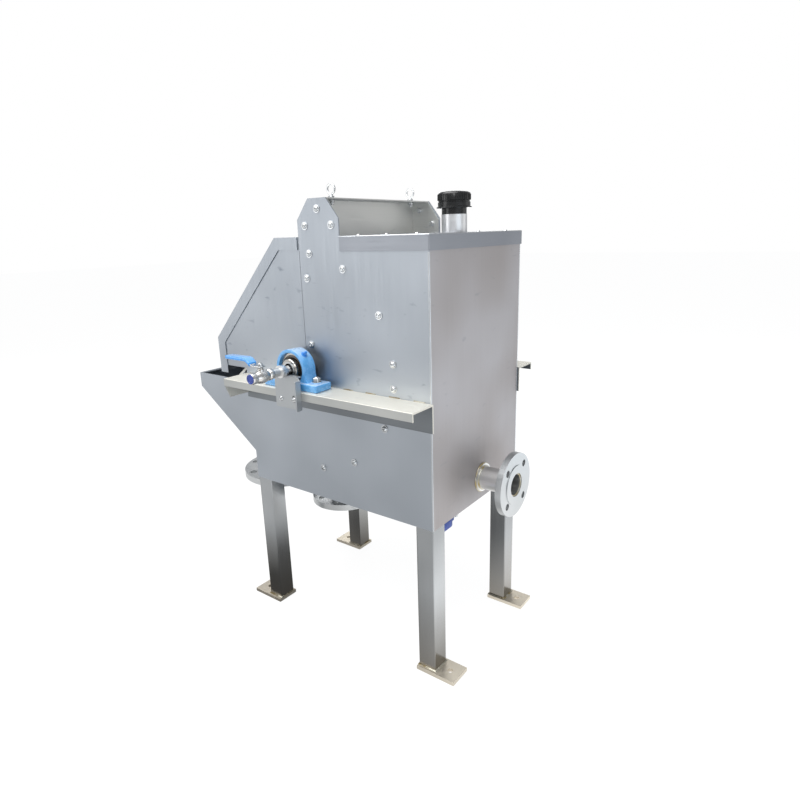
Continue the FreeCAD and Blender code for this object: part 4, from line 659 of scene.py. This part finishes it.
# Inlet: a short welded pipe with a thick collar on the wall and a turned DN50 flange with a raised face.
# Pipe and flange are machined bright. The weld rings are brushed, and straw where the heat stayed.
pipe_bright = stainless("bright_welded_pipe", "#ECECEB", "#F6F6F4", grain_mm=(60, 3, 3),
                        rough=(0.28, 0.38), marks=0.0)
dress(pipe_bright, "inlet_pipe")
flange_steel = stainless("machined_stainless_flange", "#CCCFD0", "#DBDDDE", grain_mm=(50, 2.5, 2.5),
                         rough=(0.30, 0.42), marks=0.05)
dress(flange_steel, "inlet_flange")
inlet = between("inlet_pipe")
wall_face = wall_hi.x / MM
flange_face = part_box("inlet_flange")[1].x / MM
ring_weld = weld_bead("brushed_ring_weld", "#DCDACF", "#C2B183")
AXIS_ALONG_X = rotated(90, "Y")
form = bmesh.new()
for x, reach, bead_size in ((wall_face + 1, 37.6, 1.8), (wall_face + 6, 31.2, 1.8),
                            (flange_face - 17.8, 31.0, 1.8), (flange_face - 3.8, 28.7, 1.5)):
    turn_profile(form, ring_profile(reach, bead_size, 8), 48, spot(x, inlet.y, inlet.z) @ AXIS_ALONG_X)
new_piece("inlet_ring_welds", form, ring_weld, "frame", "stainless_pipe")

# Outlets under the machine: the filtrate pipe with a DN80 flange under the tank, and the solids chute
# with a DN150 flange under the trough. Both are turned like the inlet.
dress(flange_steel, "filtrate_flange", "solids_flange")
dress(turned, "filtrate_pipe", "solids_chute")

# Pillow blocks: cast iron housings with two feet and a round arch, each bolted through slots to its rail.
# A thick pale blue enamel rounds every edge and mirrors the lamps softly. Its faces that look up are painted
# paler, as painted light from above.
housing_paint = coated("pale_blue_enamel_on_cast_iron", "#5CA6E4", "#70B5EE", 0.26, 14, coat=0.8,
                       bump_height=0.12, top_light=0.42)
shaft_height, arch_reach, seat_reach, arch_depth = 49.2, 48.8, 40.2, 38
flare, waist_level, sole_level, waist_share = 13, 13, 7, 0.6
foot_length, foot_depth, foot_height, foot_bolt = 184, 54, 19, 68.5
arch_rounding, foot_rounding = 3.2 * MM, 3.5 * MM


def arch_into_foot(verts):
    """Draw the lower half of the arch's outer circle down and outwards, so that it grows out of the foot."""
    for vert in verts:
        drop = shaft_height - vert.co.z / MM
        if drop > 0.01:
            share = math.atan2(drop, abs(vert.co.x) / MM) / math.radians(90)
            hand = math.copysign(1, vert.co.x)
            if share <= waist_share:
                down = share / waist_share
                vert.co.x = hand * (arch_reach + flare * down ** 3) * MM
                vert.co.z = (shaft_height - down * (shaft_height - waist_level)) * MM
            else:
                along = (share - waist_share) / (1 - waist_share)
                vert.co.x = hand * (arch_reach + flare) * (1 - along) * MM
                vert.co.z = (waist_level - (waist_level - sole_level) * along) * MM


for side in ("front", "back"):
    centre = between("bearing_housing_" + side)
    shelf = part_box("bearing_housing_" + side)[0].z / MM
    form = bmesh.new()
    upright = spot(0, 0, shaft_height) @ rotated(90, "X")
    rims = [bmesh.ops.create_circle(form, cap_ends=False, segments=64, radius=reach * MM,
                                    matrix=upright)["verts"] for reach in (seat_reach, arch_reach)]
    arch_into_foot(rims[1])
    wall = bmesh.ops.bridge_loops(form, edges=list(form.edges))["faces"]
    bmesh.ops.translate(form, vec=(0, -arch_depth / 2 * MM, 0), verts=form.verts)
    grown = bmesh.ops.extrude_face_region(form, geom=wall)["geom"]
    bmesh.ops.translate(form, vec=(0, arch_depth * MM, 0),
                        verts=[item for item in grown if isinstance(item, bmesh.types.BMVert)])
    bmesh.ops.recalc_face_normals(form, faces=form.faces)
    arch_edges = [edge for edge in form.edges if len(edge.link_faces) == 2 and
                  edge.calc_face_angle(0) > math.radians(60)]
    round_edges(form, arch_edges, arch_rounding)
    foot = bmesh.ops.create_cube(form, size=1.0, matrix=spot(0, 0, foot_height / 2) @
                                 Matrix.Diagonal((foot_length * MM, foot_depth * MM, foot_height * MM, 1)))
    foot_edges = {edge for vert in foot["verts"] for edge in vert.link_edges}
    round_edges(form, foot_edges, foot_rounding, clamp=False)
    for end in (-1, 1):
        turn_profile(form, [(0, 12), (15, 12), (14.2, 20.2), (13.4, 20.9), (0, 20.9)], 28,
                     spot(end * foot_bolt, 0, 0))
    bmesh.ops.transform(form, matrix=spot(centre.x, centre.y, shelf), verts=form.verts)
    new_piece("cast_pillow_block_" + side, form, housing_paint, "frame", "housing_paint",
              "bearing_housing_" + side, corner=38)

# Grease nipples: one screwed into a boss high on each block, with a hexagon and a round head, and painted
# over in a deeper blue where the enamel has run thick.
nipple_paint = coated("thick_blue_enamel", "#2F80D6", "#4A9AE6", 0.28, 4, coat=0.5)
lean = rotated(42, "Y")
boss_sunk, boss_height = 4, 5.4
nipple = bmesh.new()
turn_profile(nipple, [(0, -2), (9, -2), (8.2, 4), (7, boss_height), (0, boss_height)], 24)
hexagon(nipple, 9, 4, spot(0, 0, boss_height))
turn_profile(nipple, [(0, 9), (3, 9), (2.4, 11), (3.4, 12.4), (3.2, 14), (1.8, 15), (0, 15.2)], 18)
form = bmesh.new()
repeat_shape(form, nipple, [spot(axis_x, between("bearing_housing_" + side).y, axis_z) @ lean @
                            spot(0, 0, arch_reach - boss_sunk) for side in ("front", "back")])
new_piece("grease_nipples", form, nipple_paint, "frame", "housing_paint", corner=38)

# Insert bearings: a ground outer ring in the housing, a pressed steel shield with a rubber lip, and a wide
# inner ring that two grub screws hold on the hollow shaft. The ground rings are mirror bright and warm.
ring_steel = stainless("ground_bearing_steel", "#B6B2AC", "#CCC9C4", grain_mm=(60, 1.5, 60),
                       rough=(0.16, 0.26), marks=0.0)
shield_steel = stainless("oiled_bearing_shield", "#5C5650", "#716A62", grain_mm=(60, 1.5, 60),
                         rough=(0.3, 0.42), marks=0.0)
grub_screw_turns, grub_screw_out, grub_screw_reach = (60, 180), 17.5, 21.3


def both_ways(points, middle=()):
    """A ring's profile that is the same on both sides, from its upper half and any point at its middle."""
    return [(reach, -height) for reach, height in points] + list(middle) + points[::-1]


outer, shield, inner = bmesh.new(), bmesh.new(), bmesh.new()
for side in ("front", "back"):
    housing = between("bearing_housing_" + side)
    middle = spot(housing.x, housing.y, axis_z) @ AXIS_ALONG_Y
    turn_profile(outer, both_ways([(33.5, 10.6), (34, 11), (39, 11), (40, 9)]), 56, middle)
    turn_profile(shield, both_ways([(26.4, 8.5), (28, 10.4), (31, 9.4), (33.4, 9.4)]), 56, middle)
    turn_profile(inner, both_ways([(20.05, 23.6), (20.6, 24), (24.2, 24), (25.9, 22)]), 56, middle)
    for end in (-1, 1):
        for turn in grub_screw_turns:
            turn_profile(inner, [(0, 3.2), (1.6, 3.2), (2.0, 5.4), (3.4, 5.2), (3.4, 0), (0, 0)], 14,
                         middle @ spot(0, 0, end * grub_screw_out) @ rotated(turn, "Z") @
                         spot(grub_screw_reach, 0, 0) @ AXIS_ALONG_X)
new_piece("bearing_race_rings", outer, ring_steel, "frame", "shaft_steel", "bearing_outer_rings")
new_piece("bearing_shields", shield, shield_steel, "frame", "shaft_steel")
new_piece("bearing_sleeve_rings", inner, ring_steel, "drum", "shaft_steel", "bearing_inner_rings")

# Bearing bolts: bright M12 hexagon bolts from below through rail and foot, two to each block, with a plain
# washer and a nut on top.
washer_low, washer_high, bolt_flats = 20.9, 22.4, 19
bolt = bmesh.new()
turn_profile(bolt, [(0, -4), (6, -4), (6, 33), (5, 34), (0, 34)], 20)
turn_profile(bolt, [(6.5, washer_low), (12, washer_low), (12, washer_high), (6.5, washer_high)], 28)
hexagon(bolt, bolt_flats, 9.6, spot(0, 0, washer_high))
hexagon(bolt, bolt_flats, 8, spot(0, 0, -12))
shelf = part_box("bearing_housing_front")[0].z / MM
form = bmesh.new()
repeat_shape(form, bolt, [spot(housing.x + end * foot_bolt, housing.y, shelf)
                          for housing in (between("bearing_housing_front"), between("bearing_housing_back"))
                          for end in (-1, 1)])
new_piece("bearing_hexagon_bolts", form, bright, "frame", "stainless_fasteners", "bearing_bolts")

# Spray pipe: half inch stainless pipe, drawn bright, through the hollow shaft, with five fan nozzles in the
# drum. It stands still, held by its nut against a bracket of 3 mm satin sheet that is screwed to the rail.
spray_steel = stainless("bright_spray_pipe", "#DEDFDF", "#EDEDEC", grain_mm=(3, 60, 3),
                        rough=(0.26, 0.36), marks=0.0)
dress(spray_steel, "spray_pipe", "spray_nozzles")
bracket_sheet = stainless("sanded_stainless_bracket", "#B2B6B9", "#C3C6C8", marks=0.2)
bracket_edge, bracket_thick = 0.5, 3
softened("folded_spray_bracket", "spray_bracket", any_edge, bracket_edge, bracket_sheet, "frame",
         "stainless_sheet", segments=2)
bracket_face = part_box("front_rail")[0].y / MM - bracket_thick
screw_places = ((-85, 690), (-40, 692))
screw = bmesh.new()
turn_profile(screw, [(0, 1.2), (2.2, 1.2), (2.4, 3.6), (4.0, 3.4), (6.0, 2.0), (6.8, 0.4), (6.8, 0),
                     (0, 0)], 20)
form = bmesh.new()
repeat_shape(form, screw, [spot(x, bracket_face, z) @ rotated(90, "X") for x, z in screw_places])
new_piece("bracket_screws", form, bright, "frame", "stainless_fasteners")

# Ball valves: cast bodies with hexagon ends, a round belly, and a neck with a gland nut under the lever,
# nickel plated to a soft warm shine. One lies along the spray pipe, and one hangs under the tank floor.
valve_nickel = stainless("nickel_plated_casting", "#D3D1CE", "#E6E4E1", grain_mm=(5, 5, 5),
                         rough=(0.20, 0.32), marks=0.1)
belly_reach = 16


def ball_valve(name, half, place, stands_for, round_end):
    """A valve with its flow along Z of its own frame and its neck along Y. One end may be round."""
    end_flats, end_length, gland_flats, neck_top = 25.5, half * 0.42, 13.6, 17.4
    form = bmesh.new()
    hexagon(form, end_flats, end_length, spot(0, 0, -half))
    if round_end:
        turn_profile(form, [(0, half * 0.5), (12, half * 0.5), (13.4, half * 0.62), (13.5, half - 1),
                            (12.9, half), (0, half)], 36)
    else:
        hexagon(form, end_flats, end_length, spot(0, 0, half - end_length))
    belly = [(0, half * 0.6), (11.6, half * 0.6), (14.2, half * 0.36), (15.8, half * 0.18)]
    turn_profile(form, both_ways(belly, [(belly_reach, 0)]), 40)
    neck = rotated(-90, "X")
    turn_profile(form, [(0, 6), (9.2, 6), (8.2, 16), (8, neck_top), (0, neck_top)], 28, neck)
    hexagon(form, gland_flats, 4.6, neck @ spot(0, 0, neck_top))
    bmesh.ops.transform(form, matrix=place, verts=form.verts)
    return new_piece(name, form, valve_nickel, "frame", "valve_nickel", stands_for, corner=40)


body_lo, body_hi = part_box("spray_valve_body")
spray_half = (body_hi.y - body_lo.y) / 2 / MM
spray_centre = spot(axis_x, between("spray_valve_body").y, axis_z)
spray_place = spray_centre @ rotated(90, "X")
ball_valve("spray_ball_valve", spray_half, spray_place, "spray_valve_body", True)
body_lo, body_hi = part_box("drain_valve_body")
drain_half = (body_hi.z - body_lo.z) / 2 / MM
drain_body = between("drain_valve_body")
drain_centre = spot(body_lo.x / MM + belly_reach, drain_body.y, drain_body.z)
ball_valve("drain_ball_valve", drain_half, drain_centre @ rotated(-90, "Z"), "drain_valve_body", False)


# Valve levers: a strip of 3 mm stainless, cranked up from the stem and held by a nut, and dipped in blue
# vinyl from the crank to the tip. The dipped skin is thick, glossy and rounded all along.
def swept_strip(form, path, width, thick, rounding):
    """A strip along a path of (along, up) points, with its long edges rounded. Sizes in millimetres."""
    section = Matrix.Diagonal((thick * MM, width * MM, 1, 1))
    strip = bmesh.new()
    start = bmesh.ops.create_grid(strip, x_segments=1, y_segments=1, size=0.5,
                                  matrix=spot(path[0][0], 0, path[0][1]) @ rotated(90, "Y") @ section)
    caps = [start["verts"][0].link_faces[0]]
    for before, after in zip(path, path[1:]):
        grown = bmesh.ops.extrude_face_region(strip, geom=[caps[-1]], use_keep_orig=True)["geom"]
        caps += [item for item in grown if isinstance(item, bmesh.types.BMFace)]
        bmesh.ops.translate(strip, vec=((after[0] - before[0]) * MM, 0, (after[1] - before[1]) * MM),
                            verts=list(caps[-1].verts))
    bmesh.ops.delete(strip, geom=caps[1:-1], context="FACES_ONLY")
    bmesh.ops.recalc_face_normals(strip, faces=strip.faces)
    edges = [edge for edge in strip.edges if len(edge.link_faces) == 2 and
             edge.calc_face_angle(0) > math.radians(50)]
    round_edges(strip, edges, rounding * MM)
    repeat_shape(form, strip, [Matrix()])


lever_low, crank = 24.5, 14
lever_high = lever_low + crank
lever_width, lever_thick, lever_edge = 18, 3, 0.8
sleeve_width, sleeve_thick, sleeve_edge = 23.6, 8.4, 3.4
strip_top, washer_top, stem_nut_flats = lever_low + 1.5, lever_low + 2.7, 11.5
strip_path = [(9, lever_low), (-20, lever_low), (-26, lever_low + 1.6), (-38, lever_high - 1.6),
              (-44, lever_high)]
dip_path = [(-33, lever_low + 8.2), (-39, lever_high - 1.4), (-46, lever_high + 0.2)]
dip_from_crank = [(-27, lever_low + 2.8), (-28, lever_low + 3.7)]
dip_from_nut = [(-9, lever_low + 0.3), (-19, lever_low + 0.5)]
# The drain valve's stem points along X and its lever along Y.
hung_from_floor = Matrix(((0, 0, 1, 0), (1, 0, 0, 0), (0, 1, 0, 0), (0, 0, 0, 1)))
# The sky blue skin is painted paler on faces that look up, as a painted highlight.
spray_vinyl = coated("sky_blue_dipped_vinyl", "#3F9DF0", "#56AEF7", 0.20, 9, coat=1.0, top_light=0.18)
drain_vinyl = coated("royal_blue_dipped_vinyl", "#1A429F", "#2450B2", 0.40, 6)
for name, place, length, body, dip_start, vinyl in (
        ("spray_valve", spray_centre, 113, "spray_lever", dip_from_crank, spray_vinyl),
        ("drain_valve", drain_centre @ hung_from_floor, 90, "drain_lever", dip_from_nut, drain_vinyl)):
    form = bmesh.new()
    swept_strip(form, strip_path + [(-length + 6, lever_high)], lever_width, lever_thick, lever_edge)
    turn_profile(form, [(0, 12), (3.9, 12), (3.9, 33), (3.2, 34), (0, 34)], 20)
    turn_profile(form, [(4.2, strip_top), (7.6, strip_top), (7.6, washer_top), (4.2, washer_top)], 24)
    hexagon(form, stem_nut_flats, 5.2, spot(0, 0, washer_top))
    bmesh.ops.transform(form, matrix=place, verts=form.verts)
    new_piece(name + "_steel_lever", form, bright, body, "valve_nickel", name + "_lever")
    form = bmesh.new()
    dip_end = [(-length + reach, lever_high) for reach in (22, 8, 0)]
    swept_strip(form, dip_start + dip_path + dip_end, sleeve_width, sleeve_thick, sleeve_edge)
    bmesh.ops.transform(form, matrix=place, verts=form.verts)
    new_piece(name + "_dipped_sleeve", form, vinyl, body, "lever_sleeve", name + "_lever_sleeve", corner=50)

# Plug: a moulded polyethylene cap pushed into the open end of the spray valve for transport. It is navy and
# glossy, with a rounded rim and a sunk middle.
plug_plastic = coated("moulded_navy_polyethylene", "#173690", "#2449A8", 0.30, 5, coat=0.6)
form = bmesh.new()
turn_profile(form, [(0, -0.4), (10.6, -0.4), (11.5, 0.2), (11.5, 0.9), (10.8, 1.5), (8.8, 1.5), (7.8, 0.4),
                    (0, 0.3)], 36, spray_place @ spot(0, 0, spray_half))
new_piece("sunk_navy_plug", form, plug_plastic, "frame", "plug_plastic", "spray_inlet_plug")


# Drive: a worm gearbox cast in aluminium on the shaft end, with its ribbed motor. Both are sprayed in a grey
# blue enamel, slightly rough like orange peel. A stainless torque arm ties the gearbox to the rail.
drive_paint = coated("grey_blue_enamel_on_cast_aluminium", "#67788B", "#73859A", 0.38, 4, coat=0.2,
                     bump_height=0.15)
dress(drive_paint, "motor_housing")
dress(bracket_sheet, "torque_arm")
cast_edge, cover_sunk = 2.5, 8
softened("cast_gearbox", "gearbox_housing", any_edge, cast_edge, drive_paint, "frame", "drive_paint",
         segments=2)
gear_back = spot(axis_x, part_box("gearbox_housing")[1].y / MM - cover_sunk, axis_z) @ AXIS_ALONG_Y
screw_count, screw_circle = 6, 47
screw = bmesh.new()
hexagon(screw, 10, 4, spot(0, 0, 0))
form = bmesh.new()
repeat_shape(form, screw, [gear_back @ turn @ spot(screw_circle, 0, 0)
                           for turn in round_about(screw_count, 0.5)])
new_piece("gearbox_cover_screws", form, bright, "frame", "stainless_fasteners")

# Fan cowl: pressed from sheet over the motor's fan and painted with the motor. It has a rounded shoulder,
# and grooves between the rings of its grille.
cowl_lo, cowl_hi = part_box("motor_fan_cowl")
cowl_middle = between("motor_fan_cowl")
cowl_length = (cowl_hi.x - cowl_lo.x) / MM
cowl_reach = (cowl_hi.z - cowl_lo.z) / 2 / MM
groove_depth, groove_width, groove_pitch = 4, 4, 8
groove_floor = cowl_length - groove_depth
cowl = [(0, 0), (cowl_reach, 0), (cowl_reach, cowl_length - 9), (cowl_reach - 4, cowl_length - 3),
        (cowl_reach - 9, cowl_length)]
for reach in range(int(cowl_reach) - 14, groove_pitch, -groove_pitch):
    far = reach + groove_width
    cowl += [(far, cowl_length), (far, groove_floor), (reach, groove_floor), (reach, cowl_length)]
cowl.append((0, cowl_length))
form = bmesh.new()
turn_profile(form, cowl, 56, spot(cowl_hi.x / MM, cowl_middle.y, cowl_middle.z) @ rotated(-90, "Y"))
new_piece("pressed_fan_cowl", form, drive_paint, "frame", "drive_paint", "motor_fan_cowl")
